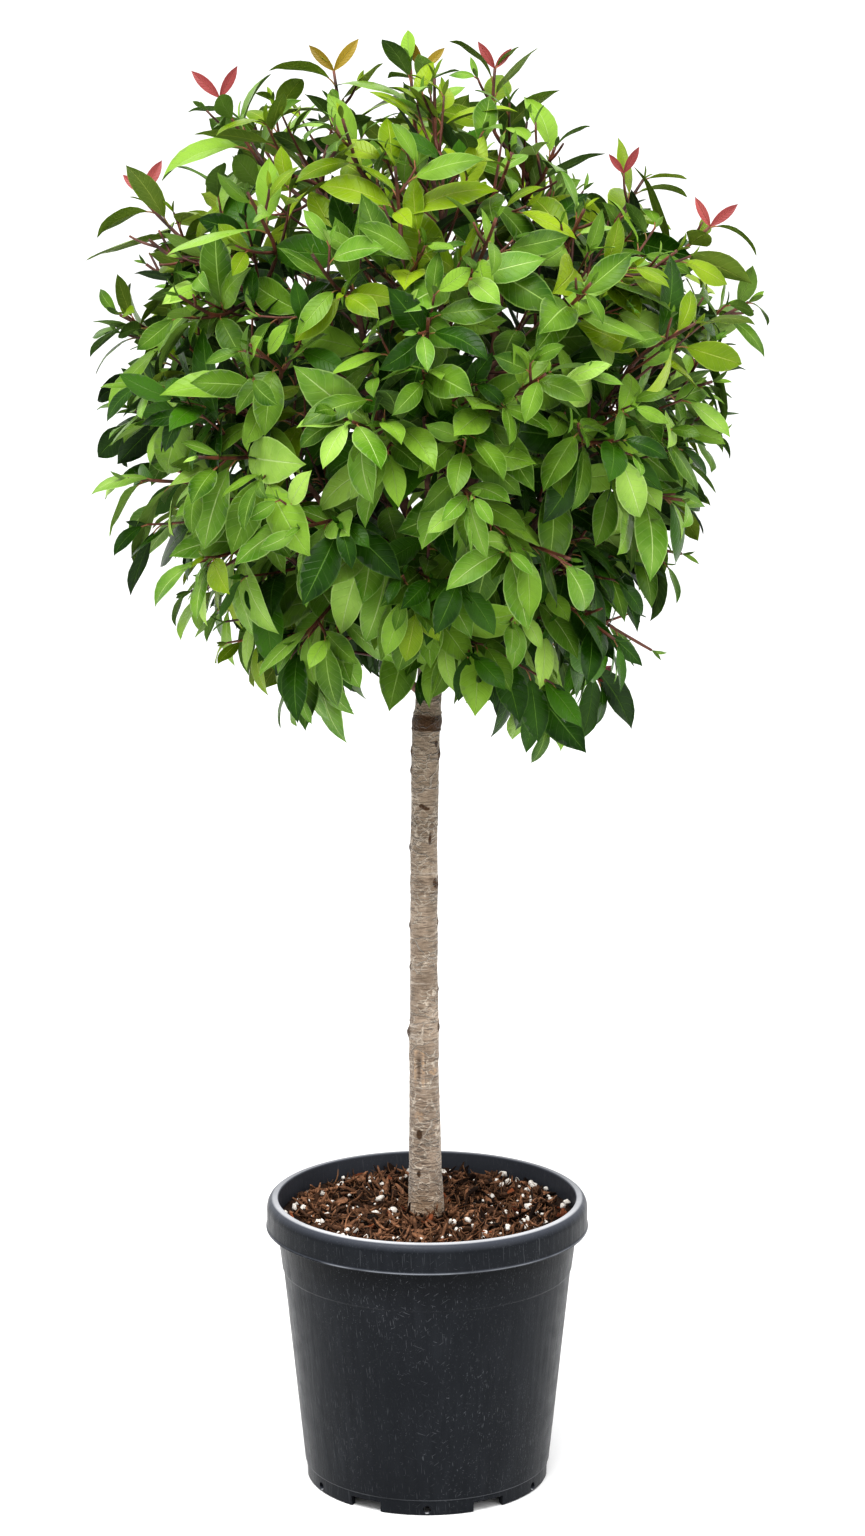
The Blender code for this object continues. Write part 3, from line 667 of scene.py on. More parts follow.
def outward_at(point):
    """The direction straight out of the crown's surface next to a point."""
    offset = point - CROWN_MIDDLE
    height = half_height(offset.z)
    across, back = offset.x / CROWN_RADIUS**2, offset.y / CROWN_RADIUS**2
    return Vector((across, back, offset.z / height**2)).normalized()


def direction_of(azimuth, latitude):
    flat = math.cos(latitude)
    return Vector((flat * math.cos(azimuth), flat * math.sin(azimuth), math.sin(latitude)))


def bough_line(start, target, share, rise):
    """The bough's middle line, which ends at a share of the way to the target."""
    end = start + share * (target - start)
    outward = Vector((target.x - start.x, target.y - start.y, 0)).normalized()
    length = (end - start).length
    rising = outward * math.cos(rise) + UP * math.sin(rise)
    start_pull = start + BOUGH_START_PULL * length * rising
    heading = (target - end).normalized().lerp(UP, BOUGH_END_LIFT).normalized()
    end_pull = end - BOUGH_END_PULL * length * heading
    return bezier(start, start_pull, end_pull, end, BOUGH_RINGS)


def plan_crown():
    """The boughs and masses, leaders first, as dictionaries of their names, lines and sizes."""
    plans = []
    leaders = []
    for name, count, first, latitude, attach, share, radius in reversed(TIERS):
        for index in range(count):
            azimuth = math.radians(first + 360 * index / count)
            direction = direction_of(azimuth, math.radians(latitude))
            target = crown_point(direction, 1 - TARGET_INSETS * SHOOT_INSET / CROWN_RADIUS)
            if attach:
                spread = ATTACH_SPREAD * (index % 3 - 1) if name != "top" else 0
                start = trunk_at(attach + spread)
                rise = LEADER_RISE if name == "top" else BOUGH_RISE
            else:
                leader = min(leaders, key=lambda plan: (plan["line"][-1] - target).length)
                place = LEADER_SHARES[leader["carried"] % 2]
                leader["carried"] += 1
                start = point_along(leader["line"], place)
                carrier = leader["radii"][0] + place * (BOUGH_TIP_RADIUS - leader["radii"][0])
                radius = FORK_SHARE * carrier
                rise = FORK_RISE
            line = bough_line(start, target, share, rise)
            plan = {
                "bough": f"bough_{name}_{index + 1}",
                "mass": f"leaves_{name}_{index + 1}",
                "line": line,
                "stem": stem_line(line, target),
                "radii": taper(radius, BOUGH_TIP_RADIUS, BOUGH_RINGS),
                "seed_point": crown_point(direction, SEED_DEPTH),
                "carried": 0,
            }
            plans.append(plan)
            if name == "top":
                leaders.append(plan)
    return plans


def point_along(line, share):
    place = share * (len(line) - 1)
    index = min(int(place), len(line) - 2)
    return line[index].lerp(line[index + 1], place - index)


def stem_line(bough, target):
    """The mass's stem, from its bough's tip on towards its target."""
    start = bough[-1]
    heading = (start - bough[-2]).normalized()
    start_pull = start + STEM_START_PULL * (target - start).length * heading
    end_pull = target.lerp(start, STEM_END_PULL)
    return bezier(start, start_pull, end_pull, target, STEM_RINGS)


def shoot_points():
    """Where the source's twigs end: the tall shoots, then an even spread over the rest of the crown."""
    found = []
    for angle, depth, reach in TALL_SHOOTS:
        turn = math.radians(angle)
        direction = Vector((math.cos(turn), depth / CROWN_RADIUS, math.sin(turn)))
        found.append(inset_point(direction.normalized(), reach))
    for index in range(SHOOTS):
        latitude = math.asin(1 - 2 * (index + 0.5) / SHOOTS)
        point = inset_point(direction_of(index * GOLDEN_ANGLE, latitude), 1)
        crowded = any((point - other).length < SHOOT_SPACING for other in found)
        if latitude > LOWEST_LATITUDE and not crowded:
            found.append(point)
    return found


def inset_point(direction, reach):
    surface = crown_point(direction, reach)
    return surface - SHOOT_INSET * (surface - CROWN_MIDDLE).normalized()


def twig_line(stem, point):
    """A twig that leaves the stem at a slant and bends out of the crown to end at the point."""
    along = (stem[-1] - stem[0]).normalized()
    length = (stem[-1] - stem[0]).length
    offset = point - stem[0]
    ahead = offset.dot(along)
    aside = (offset - ahead * along).length
    first, last = TWIG_PLACES
    start = point_along(stem, min(last, max(first, (ahead - TWIG_SLANT * aside) / length)))
    pull = TWIG_PULL * (point - start).length
    leaving = (along + (point - start).normalized()).normalized()
    heading = (outward_at(point) + TWIG_END_LIFT * UP).normalized()
    return bezier(start, start + pull * leaving, point - pull * heading, point, TWIG_RINGS)


# Finer shoots
def reach_change(point):
    """The share by which the leaves near a point reach further than elsewhere."""
    off_middle = Vector((point.x - CROWN_MIDDLE.x, point.z - CROWN_MIDDLE.z))
    weight = min(1.0, (off_middle.length / CROWN_RADIUS) ** 2)
    angle = math.degrees(math.atan2(off_middle.y, off_middle.x))
    change = 0.0
    for middle, half, amount in REACH_CHANGES:
        off = abs(angle_between(angle, middle)) / half
        change += weight * amount * max(0.0, 1 - off * off)
    return change


def lengthened(line, draw):
    """The twig with its new growth, which goes on up and out from where the source's twig ends."""
    end = line[-1]
    axis = (end - line[-2]).normalized()
    heading = (axis + GROWTH_OUTWARD * outward_at(end) + GROWTH_UPWARD * UP).normalized()
    length = draw.uniform(*TWIG_GROWTH) * max(LEAST_GROWTH, 1 + GROWTH_GAIN * reach_change(end))
    tip = end + length * (axis + heading).normalized()
    growth = bezier(end, end + length / 3 * axis, tip - length / 3 * heading, tip, GROWTH_RINGS)
    return line + growth[1:]


def place_back(line, distance):
    """The point at a distance back from a line's end, and the line's direction there."""
    end = line[-1]
    for start in reversed(line[:-1]):
        length = (end - start).length
        axis = (end - start).normalized()
        if distance <= length:
            return end - axis * distance, axis
        distance -= length
        end = start
    return None, None


def side_of(axis, turn):
    """A unit vector square to an axis, turned round it."""
    return Matrix.Rotation(turn, 3, axis) @ axis.cross(ASIDE).normalized()


def side_shoots(line, count, places, draw):
    """The finer shoots of a limb: each leaves it at a slant and turns up and out."""
    lines = []
    turn = draw.uniform(0, math.tau)
    first, last = places
    for index in range(count):
        share = first + (last - first) * index / (count - 1)
        start = point_along(line, share)
        axis = (point_along(line, min(1, share + SIDE_AHEAD)) - start).normalized()
        around = side_of(axis, turn + index * GOLDEN_ANGLE)
        slant = math.radians(draw.uniform(*SIDE_ANGLE))
        leaving = axis * math.cos(slant) + around * math.sin(slant)
        heading = (leaving + SIDE_LIFT * UP + SIDE_LIFT * outward_at(start)).normalized()
        length = draw.uniform(*SIDE_LENGTH)
        end = start + length * (leaving + heading).normalized()
        while crown_depth(end) > SIDE_DEPTH + reach_change(end) and length > SIDE_LENGTH[0] / 2:
            length *= SIDE_SHRINK
            end = start + length * (leaving + heading).normalized()
        pull = length / 3
        lines.append(bezier(start, start + pull * leaving, end - pull * heading, end, SIDE_RINGS))
    return lines


# Leaves
class ClearSpace:
    """Finds whether a leaf crosses one that is already there, with a grid of search trees."""

    def __init__(self):
        self.cells = {}

    def admits(self, points, faces):
        tree = BVHTree.FromPolygons(points, faces)
        middle = sum(points, Vector()) / len(points)
        home = tuple(int(value // CLEAR_SIZE) for value in middle)
        for step in product((-1, 0, 1), repeat=3):
            near = self.cells.get(tuple(map(sum, zip(home, step))), ())
            if any(tree.overlap(other) for other in near):
                return False
        self.cells.setdefault(home, []).append(tree)
        return True


def rough_leaf(leaf):
    """Five points that stand for a leaf where leaves are kept clear of each other."""
    start, length, heading = leaf["start"], leaf["length"], leaf["heading"]
    upper = heading.cross(leaf["across"]).normalized()
    middle = start + ROUGH_MIDDLE * length * heading
    droop = upper * math.sin(leaf["bend"] / 2) * length
    end = start + length * math.cos(leaf["bend"] / 2) * heading - droop
    width = ROUGH_WIDTH * leaf["width"] * length
    side = leaf["across"] * width * 2
    lift = upper * (leaf["fold"] * width)
    foot = start + ROUGH_FOOT * length * heading
    return [foot, middle + side + lift, middle, middle - side + lift, end]


def tint_of(root, draw):
    """Deals a tint to a shoot: fresh and deep ones low down, olive high up, partly as painted light on
    the top, deep inside as painted shade.
    """
    high = (root.z - CROWN_MIDDLE.z) / CROWN_ABOVE
    low = min(0.0, high)
    # the deep leaves dealt inside the crown are painted shade
    most, loss = PAINTED_SHADE_INSIDE
    inside = (most - loss * crown_depth(root)) * (1 - max(0.0, high))
    least = {"olive": LEAST_OLIVE, "deep": inside}
    shares = []
    for tint, (middle, gain, low_gain) in TINT_SHARES.items():
        share = middle + gain * high + low_gain * low
        shares.append(max(0.0, share, least.get(tint, 0.0)))
    return draw.choices(list(TINT_SHARES), shares)[0]


def lowness(root):
    """0 high in the crown and 1 low in it, where leaves hang."""
    return min(1.0, max(0.0, (CROWN_MIDDLE.z + HANG_START - root.z) / HANG_SPAN))


def leaf_heading(root, axis, turn, spread, draw):
    """The direction of one leaf round a shoot. It hangs more the lower it is in the crown."""
    heading = axis * math.cos(spread) + side_of(axis, turn) * math.sin(spread)
    hang = HANG * lowness(root) + draw.uniform(*HANG_VARIES)
    return (heading - hang * UP + LEAF_OUTWARD * outward_at(root)).normalized()


def leaf_facing(root, draw):
    """Where a leaf's upper side turns: out of the crown and up, but never down."""
    outward = outward_at(root)
    level = Vector((outward.x, outward.y, max(0.0, outward.z))).normalized()
    return LEAF_FACES_OUT * level + draw.uniform(*LEAF_FACES_UP) * UP


def leaf_across(heading, facing, roll):
    """The direction across a leaf, whose upper side turns towards the facing apart from a roll."""
    return Matrix.Rotation(roll, 3, heading) @ facing.cross(heading).normalized()


def shoot_leaves(line, count, limit, draw, space):
    """The leaves of one shoot, from its tip back, each with all that its mesh needs."""
    turn = draw.uniform(0, math.tau)
    tint = tint_of(line[-1], draw)
    grown = []
    for index in range(count):
        root, axis = place_back(line, TIP_STEP + LEAF_STEP * index * draw.uniform(*STEP_VARIES))
        if root is None:
            break
        for attempt in range(LEAF_TRIES):
            wander = attempt / LEAF_TRIES
            around = turn + index * GOLDEN_ANGLE + wander * draw.uniform(-math.pi, math.pi)
            spread = draw.uniform(*LEAF_SPREAD) + LEAF_OPENING * index + TRY_SPREAD * wander
            heading = leaf_heading(root, axis, around, math.radians(spread), draw)
            length = LEAF_LENGTH * draw.uniform(*LEAF_SIZES) * (1 - TRY_SHRINK * wander)
            length *= min(1.0, TIP_LEAF_SIZE + LEAF_SIZE_GAIN * index)
            leaving = (heading + LEAVING_AHEAD * axis).normalized()
            facing = leaf_facing(root, draw)
            roll = draw.gauss(0, LEAF_ROLL * (1 - LOW_ROLL_LOSS * lowness(root)))
            leaf = {
                "root": root,
                "start": root + leaving * PETIOLE * length,
                "leaving": leaving,
                "heading": heading,
                "across": leaf_across(heading, facing, roll),
                "length": length,
                "width": draw.uniform(*LEAF_WIDTH),
                "fold": draw.uniform(*LEAF_FOLD),
                "bend": draw.uniform(*LEAF_BEND),
                "twist": draw.uniform(-LEAF_TWIST, LEAF_TWIST),
                "phase": draw.uniform(0, math.tau),
                "chance": draw.random(),
                "tint": tint,
            }
            points = rough_leaf(leaf)
            inside = max(crown_depth(point) for point in points) < limit
            if inside and space.admits(points, ROUGH_FACES):
                grown.append(leaf)
                break
    return grown


def small_leaf(line, heading, facing, length, tint, draw):
    """One of the two small leaves at a shoot's tip."""
    return {
        "root": line[-1],
        "start": line[-1] - SMALL_LEAF_SINK * heading,
        "leaving": heading,
        "heading": heading,
        "across": leaf_across(heading, facing, 0),
        "length": length * draw.uniform(*YOUNG_SIZES),
        "chance": draw.random(),
        "tint": tint,
        **YOUNG_SHAPE,
    }


def bud_leaves(line, tint, draw):
    """The bud at a shoot's tip: two tiny upright leaves, face to face."""
    axis = (line[-1] - line[-2]).normalized()
    turn = draw.uniform(0, math.tau)
    leaves = []
    for index in range(2):
        side = side_of(axis, turn + index * math.pi)
        heading = (axis + BUD_SPREAD * side).normalized()
        leaves.append(small_leaf(line, heading, axis - BUD_FACING * side, BUD_LENGTH, tint, draw))
    return leaves


def young_leaves(line, tint, draw):
    """Two larger young leaves that open to the left and right in the front view."""
    axis = (line[-1] - line[-2]).normalized()
    upright = (axis + UP).normalized()
    across, forward, upward = YOUNG_FACING
    leaves = []
    for side in (-1, 1):
        heading = (upright + side * draw.uniform(*YOUNG_SPREAD) * Vector((1, 0, 0))).normalized()
        facing = Vector((across * side, forward, upward))
        leaves.append(small_leaf(line, heading, facing, YOUNG_LENGTH, tint, draw))
    return leaves


def young_tints(lines):
    """The tint of the young leaves on the shoots that end nearest to the young tips' places."""
    tints = {}
    weights = Vector((1, YOUNG_DEPTH_WEIGHT, 1))
    for tint, across, up in YOUNG_TIPS:
        place = Vector((across, 0, up))
        free = [index for index in range(len(lines)) if index not in tints]
        nearest = min(free, key=lambda index: ((lines[index][-1] - place) * weights).length)
        tints[nearest] = tint
    return tints


def grow_crown(plans):
    """Every twig, finer shoot and leaf of the crown."""
    draw = random.Random(f"{SEED} crown")
    stems = [plan["stem"] for plan in plans]
    twigs = []
    for shoot in shoot_points():
        plan = min(plans, key=lambda plan: (plan["seed_point"] - shoot).length)
        twigs.append(lengthened(twig_line(plan["stem"], shoot), draw))
    boughs = [plan["line"] for plan in plans]
    sides = []
    for carriers, shoots in ((twigs, TWIG_SHOOTS), (stems, STEM_SHOOTS), (boughs, BOUGH_SHOOTS)):
        for line in carriers:
            sides += side_shoots(line, *shoots, draw)
    lines = twigs + stems + sides
    young = young_tints(lines)
    space = ClearSpace()
    leaves = []
    for index, line in enumerate(lines):
        limit = draw.uniform(*(HIGH_LIMITS if line[-1].z > CROWN_MIDDLE.z else LOW_LIMITS))
        limit += reach_change(line[-1])
        count = TWIG_LEAVES if index < len(twigs) else SIDE_LEAVES
        if line[-1].z > OPEN_HEIGHT:
            count -= 1 + int((line[-1].z - OPEN_HEIGHT) / OPEN_STEP)
        if index < len(TALL_SHOOTS):
            limit, count = TALL_LIMIT, TALL_LEAVES
        spray = shoot_leaves(line, count, limit, draw, space)
        leaves += spray
        if index in young:
            leaves += young_leaves(line, young[index], draw)
        elif spray:
            leaves += bud_leaves(line, spray[0]["tint"], draw)
    return twigs, sides, leaves


def leaf_template():
    """The unit leaf's points as length share, lane and side, with the faces of its two sides."""
    rows = [share for share, _ in LEAF_OUTLINE[1:-1]]
    lanes = len(LEAF_LANES)
    marks = [(0.0, 0.0, 0.0)]
    marks += [(row, lane, 0.0) for row in rows for lane in LEAF_LANES]
    marks.append((1.0, 0.0, 0.0))
    tip = len(marks) - 1
    upper = [[1 + index * lanes + lane for lane in range(lanes)] for index in range(len(rows))]
    lower = []
    for index, row in enumerate(rows):
        inner = range(len(marks), len(marks) + lanes - 2)
        lower.append([upper[index][0], *inner, upper[index][-1]])
        marks += [(row, lane, 1.0) for lane in LEAF_LANES[1:-1]]
    under_faces = [tuple(reversed(face)) for face in sheet_faces(lower, tip)]
    return np.array(marks), sheet_faces(upper, tip), under_faces


def sheet_faces(rows, tip):
    """The faces of one side of the leaf, from its foot, point 0, to its tip."""
    faces = []
    for lane in range(len(LEAF_LANES) - 1):
        faces.append((0, rows[0][lane], rows[0][lane + 1]))
        for here, ahead in zip(rows, rows[1:]):
            faces.append((here[lane], ahead[lane], ahead[lane + 1], here[lane + 1]))
        faces.append((rows[-1][lane], tip, rows[-1][lane + 1]))
    return faces


def leaf_points(leaves, marks):
    """The points of all the leaves at once, bent, folded, twisted and waved."""

    def column(key):
        return np.array([leaf[key] for leaf in leaves])[:, None]

    heading, across, start = column("heading"), column("across"), column("start")
    share, lane, under = marks[:, 0][None], marks[:, 1][None], marks[:, 2][None]
    width = np.interp(marks[:, 0], *zip(*LEAF_OUTLINE))[None] * column("width")
    bend, length = column("bend"), column("length")
    ahead = np.sin(bend * share) / bend
    drop = (np.cos(bend * share) - 1) / bend
    sideways = width * lane
    lift = column("fold") * np.abs(sideways) - LEAF_FLATTENING * sideways**2
    lift = lift + LEAF_WAVE * lane**2 * width * np.sin(LEAF_WAVE_TURN * share + column("phase"))
    lift = lift + column("twist") * share * sideways
    lift = lift - under * LEAF_THICKNESS * (1 - LEAF_EDGE_THINNING * lane**2) / length
    x = ahead + lift * np.sin(bend * share)
    z = drop + lift * np.cos(bend * share)
    points = heading * x[..., None] + across * sideways[..., None]
    points = points + np.cross(heading, across) * z[..., None]
    return start + points * length[..., None]


def make_leaves(leaves, looks, masses):
    """Pieces for each tint: upper sides in the first material slot, undersides in the second."""
    marks, top_faces, under_faces = leaf_template()
    faces = top_faces + under_faces
    slots = [0] * len(top_faces) + [1] * len(under_faces)
    for tint, (*_, finish) in LEAF_TINTS.items():
        chosen = [leaf for leaf in leaves if leaf["tint"] == tint]
        for number, first in enumerate(range(0, len(chosen), LEAVES_A_PIECE)):
            part = chosen[first:first + LEAVES_A_PIECE]
            shell = Shell()
            for leaf, points in zip(part, leaf_points(part, marks)):
                places = marks.copy()
                places[:, 2] = leaf["chance"]
                shell.add(points, faces, places, slots)
            name = f"leaves_{tint}_{number + 1}"
            piece = shell.build(name, looks[tint], "leaf_place", LEAF_EDGE_ANGLE)
            dress(piece, finish, *masses)


def make_petioles(leaves, look):
    shell = Shell()
    radii = taper(PETIOLE_RADIUS * PETIOLE_FOOT, PETIOLE_RADIUS, PETIOLE_RINGS)
    for leaf in leaves:
        root, leaving, start, heading = (leaf[key] for key in ("root", "leaving", "start", "heading"))
        reach = (start - root).length
        if reach > SHORTEST_PETIOLE:
            start_pull = root + PETIOLE_START_PULL * reach * leaving
            end_pull = start - PETIOLE_END_PULL * reach * heading
            end = start + PETIOLE_OVERLAP * leaf["length"] * heading
            foot = root - PETIOLE_SINK * leaving
            line = bezier(foot, start_pull, end_pull, end, PETIOLE_RINGS)
            add_tube(shell, line, radii, PETIOLE_SIDES)
    return shell.build("petioles", [look])


# Limbs
def node_swell(count, draw):
    """Radius factors along a twig that swell at its nodes."""
    turn = draw.uniform(0, math.tau)
    heights = [math.sin(turn + TWIG_NODE_TURN * index) for index in range(count)]
    return [1 + TWIG_NODE_SWELL * max(0, height) for height in heights]


def make_twigs(twigs, sides, look):
    draw = random.Random(f"{SEED} twigs")
    shell = Shell()
    kinds = (
        (twigs, TWIG_RADIUS, TWIG_TIP_RADIUS, TWIG_SIDES),
        (sides, SIDE_RADIUS, SIDE_TIP_RADIUS, SIDE_SIDES),
    )
    for lines, radius, tip_radius, tube_sides in kinds:
        for line in lines:
            radii = taper(radius, tip_radius, len(line))
            swell = node_swell(len(line), draw)
            add_tube(shell, line, [r * s for r, s in zip(radii, swell)], tube_sides)
    return shell.build("twigs", [look])


def make_boughs(plans, look):
    """The boughs and their stems as one tapering limb each, thicker where they leave their carrier."""
    shell = Shell()
    for plan in plans:
        line = plan["line"] + plan["stem"][1:]
        radii = plan["radii"] + taper(BOUGH_TIP_RADIUS, STEM_TIP_RADIUS, STEM_RINGS)[1:]
        distance = 0.0
        rings = []
        for index, (point, radius) in enumerate(zip(line, radii)):
            if index:
                distance += (point - line[index - 1]).length
            collar = 1 + BOUGH_COLLAR * math.exp(-distance / (BOUGH_COLLAR_RADII * radii[0]))
            ring = []
            for side in range(BOUGH_SIDES):
                around = direction_of(math.tau * side / BOUGH_SIDES, 0)
                spot = point * BOUGH_GRAIN + around * BOUGH_GRAIN_REACH
                ring.append(radius * collar * (1 + BOUGH_UNEVENNESS * noise.noise(spot)))
            rings.append(ring)
        add_tube(shell, line, rings, BOUGH_SIDES)
    return shell.build("boughs", [look])


def bark_relief(height, azimuth, radius, lean):
    """How far the bark stands out at a place on the trunk, and how dark it is there."""
    point = Vector((lean + radius * math.sin(azimuth), -radius * math.cos(azimuth), height))
    lift = 0.0
    for rise, scale in (BARK_SWELL, BARK_GRAIN):
        lift += rise * noise.noise(point * scale)
    depth, scale = BARK_NET
    squeezed = Vector((point.x, point.y, point.z * BARK_NET_SQUEEZE))
    first, second = noise.voronoi(squeezed * scale)[0][:2]
    lift -= depth * max(0.0, 1 - BARK_NET_SHARPNESS * (second - first))
    dark = 0.0
    for mark_height, turn, half_height, half_width, rise, darkness in BARK_MARKS:
        across = (azimuth - math.radians(turn) + math.pi) % math.tau - math.pi
        away = ((height - mark_height) / half_height) ** 2 + (across * radius / half_width) ** 2
        if away < MARK_REACH:
            lift += rise * math.exp(-away)
            dark += darkness * math.exp(-(away**2) / MARK_SOFTNESS)
    reach, scale = RING_WOBBLE
    wobble = reach * noise.noise(point * scale)
    for ring_height, half_height, rise, darkness in BARK_RINGS:
        away = ((height - ring_height + wobble) / half_height) ** 2
        if away < MARK_REACH:
            lift += rise * math.exp(-away)
            dark += darkness * math.exp(-(away**3) / MARK_SOFTNESS)
    return lift, dark


def make_trunk(look):
    """The trunk from inside the soil to its fork, with the bark's relief in the mesh."""
    heights, leans, radii = zip(*TRUNK_LINE)
    levels = np.linspace(heights[0], heights[-1], TRUNK_RINGS)
    middles = np.interp(levels, heights, leans)
    widths = np.interp(levels, heights, radii)
    points, places = [], []
    for height, lean, radius in zip(levels, middles, widths):
        for side in range(TRUNK_SIDES):
            azimuth = math.tau * side / TRUNK_SIDES
            lift, dark = bark_relief(height, azimuth, radius, lean)
            reach = radius + lift
            points.append((lean + reach * math.sin(azimuth), -reach * math.cos(azimuth), height))
            places.append((dark, azimuth / math.tau, height))
    for height, lean in ((levels[0], middles[0]), (levels[-1], middles[-1])):
        points.append((lean, 0, height))
        places.append((0, 0, height))
    shell = Shell()
    shell.add(points, tube_faces(TRUNK_RINGS, TRUNK_SIDES), places)
    return shell.build("trunk_bark", [look], "bark_place")


# Soil
def soil_height(x, y):
    """The height of the rough soil at a place."""
    rough = 0.0
    for scale, share, level in SOIL_WAVES:
        rough += share * noise.noise(Vector((x, y, level)) * scale)
    rise, reach = SOIL_MOUND
    mound = rise * math.exp(-math.hypot(x, y) / reach)
    return SOIL_TOP + mound + SOIL_ROUGHNESS * rough


def make_soil(look):
    """The filling as a closed mesh: a rough top, a smooth side and a flat bottom."""
    base = BASE_TOP + GAP
    turns = [math.tau * sector / SOIL_SECTORS for sector in range(SOIL_SECTORS)]
    points = [(0, 0, soil_height(0, 0))]
    for ring in range(1, SOIL_RINGS + 1):
        radius = SOIL_RADIUS * ring / SOIL_RINGS
        for turn in turns:
            x, y = radius * math.cos(turn), radius * math.sin(turn)
            points.append((x, y, soil_height(x, y)))
    for radius, height in ((COLLAR_TOP_RADIUS, RIM_BOTTOM), (BODY_LOW_RADIUS, base)):
        radius = radius - POT_WALL - GAP
        points += [(radius * math.cos(turn), radius * math.sin(turn), height) for turn in turns]
    points.append((0, 0, base))
    faces = []
    last_ring = 1 + (SOIL_RINGS + 1) * SOIL_SECTORS
    for sector in range(SOIL_SECTORS):
        following = (sector + 1) % SOIL_SECTORS
        faces.append((0, 1 + sector, 1 + following))
        faces.append((len(points) - 1, last_ring + following, last_ring + sector))
        for low in range(1, last_ring, SOIL_SECTORS):
            high = low + SOIL_SECTORS
            faces.append((low + sector, high + sector, high + following, low + following))
    shell = Shell()
    shell.add(points, faces)
    return shell.build("soil_bed", [look])


def place_on_soil(edge, draw):
    """A random place on the soil, at least the edge's width in from its rim."""
    radius = (SOIL_RADIUS - edge) * math.sqrt(draw.random())
    angle = draw.uniform(0, math.tau)
    return radius * math.cos(angle), radius * math.sin(angle)


def strip_points(length, width, thickness, bend, draw):
    """A bent strip of bark along X, as rings of four points with ragged widths."""
    points = []
    for section in range(STRIP_SECTIONS):
        share = section / (STRIP_SECTIONS - 1)
        turn = bend * (share - 0.5)
        x = length * math.sin(turn) / bend
        z = -length * (1 - math.cos(turn)) / bend
        narrow = STRIP_END if section in (0, STRIP_SECTIONS - 1) else 1.0
        half = width / 2 * narrow * draw.uniform(*STRIP_WIDTH_VARIES)
        deep = thickness / 2 * narrow * draw.uniform(*STRIP_DEPTH_VARIES)
        shift = width * STRIP_WANDER * draw.uniform(-1, 1)
        for side, lift in ((-half, -deep), (half, -deep), (half, deep), (-half, deep)):
            points.append(Vector((x, side + shift, z + lift)))
    points.append((points[0] + points[2]) / 2)
    points.append((points[-5] + points[-3]) / 2)
    return points


def make_strips(name, count, lengths, widths, thicknesses, bends, look):
    """Loose bark strips that lie on the soil in all directions."""
    draw = random.Random(f"{SEED} {name}")
    faces = tube_faces(STRIP_SECTIONS, 4)
    shell = Shell()
    for _ in range(count):
        length = draw.uniform(*lengths)
        x, y = place_on_soil(STRIP_EDGE + STRIP_INSET * length, draw)
        turn = Matrix.Rotation(draw.uniform(0, math.tau), 3, "Z")
        turn = turn @ Matrix.Rotation(draw.gauss(0, STRIP_TILT), 3, "Y")
        turn = turn @ Matrix.Rotation(draw.gauss(0, STRIP_ROLL), 3, "X")
        place = Vector((x, y, soil_height(x, y) + STRIP_RISE * draw.random() ** STRIP_SETTLING))
        bend = draw.uniform(*bends) * draw.choice((-1, 1))
        width, thickness = draw.uniform(*widths), draw.uniform(*thicknesses)
        points = strip_points(length, width, thickness, bend, draw)
        shade = draw.random()
        places = [(shade, share, 0) for share in np.linspace(0, 1, len(points))]
        shell.add([turn @ point + place for point in points], faces, places)
    return shell.build(name, [look], "strip_place")


def make_grains(look):
    """White perlite grains, each an uneven lump, half sunk in the soil."""
    draw = random.Random(f"{SEED} grains")
    ball, faces = lump_template()
    smallest, largest = GRAIN_SIZE
    shell = Shell()
    for index in range(GRAINS):
        size = (smallest + (largest - smallest) * draw.random() ** GRAIN_RARITY) / 2
        x, y = place_on_soil(GRAIN_EDGE, draw)
        stretch = Vector([draw.uniform(*GRAIN_STRETCH) for _ in range(3)])
        middle = Vector((x, y, soil_height(x, y) + STRIP_RISE * draw.uniform(*GRAIN_LIFT)))
        spin = Matrix.Rotation(draw.uniform(0, math.tau), 3, "X")
        spin = Matrix.Rotation(draw.uniform(0, math.tau), 3, "Z") @ spin
        points = []
        for point in ball:
            uneven = 1 + GRAIN_ROUGHNESS * noise.noise(point * GRAIN_LUMPS + Vector((index, 0, 0)))
            points.append(middle + spin @ (point * stretch) * size * uneven)
        shell.add(points, faces)
    return shell.build("perlite_grains", [look])


def lump_template():
    """The points and faces of a ball of triangles."""
    points = []
    for ring in range(1, GRAIN_RINGS):
        latitude = math.pi * ring / GRAIN_RINGS
        flat = math.sin(latitude)
        for side in range(GRAIN_SIDES):
            angle = math.tau * (side + 0.5 * (ring % 2)) / GRAIN_SIDES
            points.append(Vector((flat * math.cos(angle), flat * math.sin(angle), -math.cos(latitude))))
    return points + [-UP, UP], tube_faces(GRAIN_RINGS - 1, GRAIN_SIDES)


# Pot
def rounded(profile, radius):
    """The profile with each corner turned into a small curve."""
    points = [profile[0]]
    for before, corner, after in zip(profile, profile[1:], profile[2:]):
        corner = Vector(corner)
        back, ahead = Vector(before) - corner, Vector(after) - corner
        start = corner + back.normalized() * min(radius, FILLET_LIMIT * back.length)
        end = corner + ahead.normalized() * min(radius, FILLET_LIMIT * ahead.length)
        for step in range(FILLET_STEPS):
            share = step / (FILLET_STEPS - 1)
            middle = corner * 2 * share * (1 - share)
            points.append(tuple(start * (1 - share) ** 2 + middle + end * share**2))
    points.append(profile[-1])
    return points


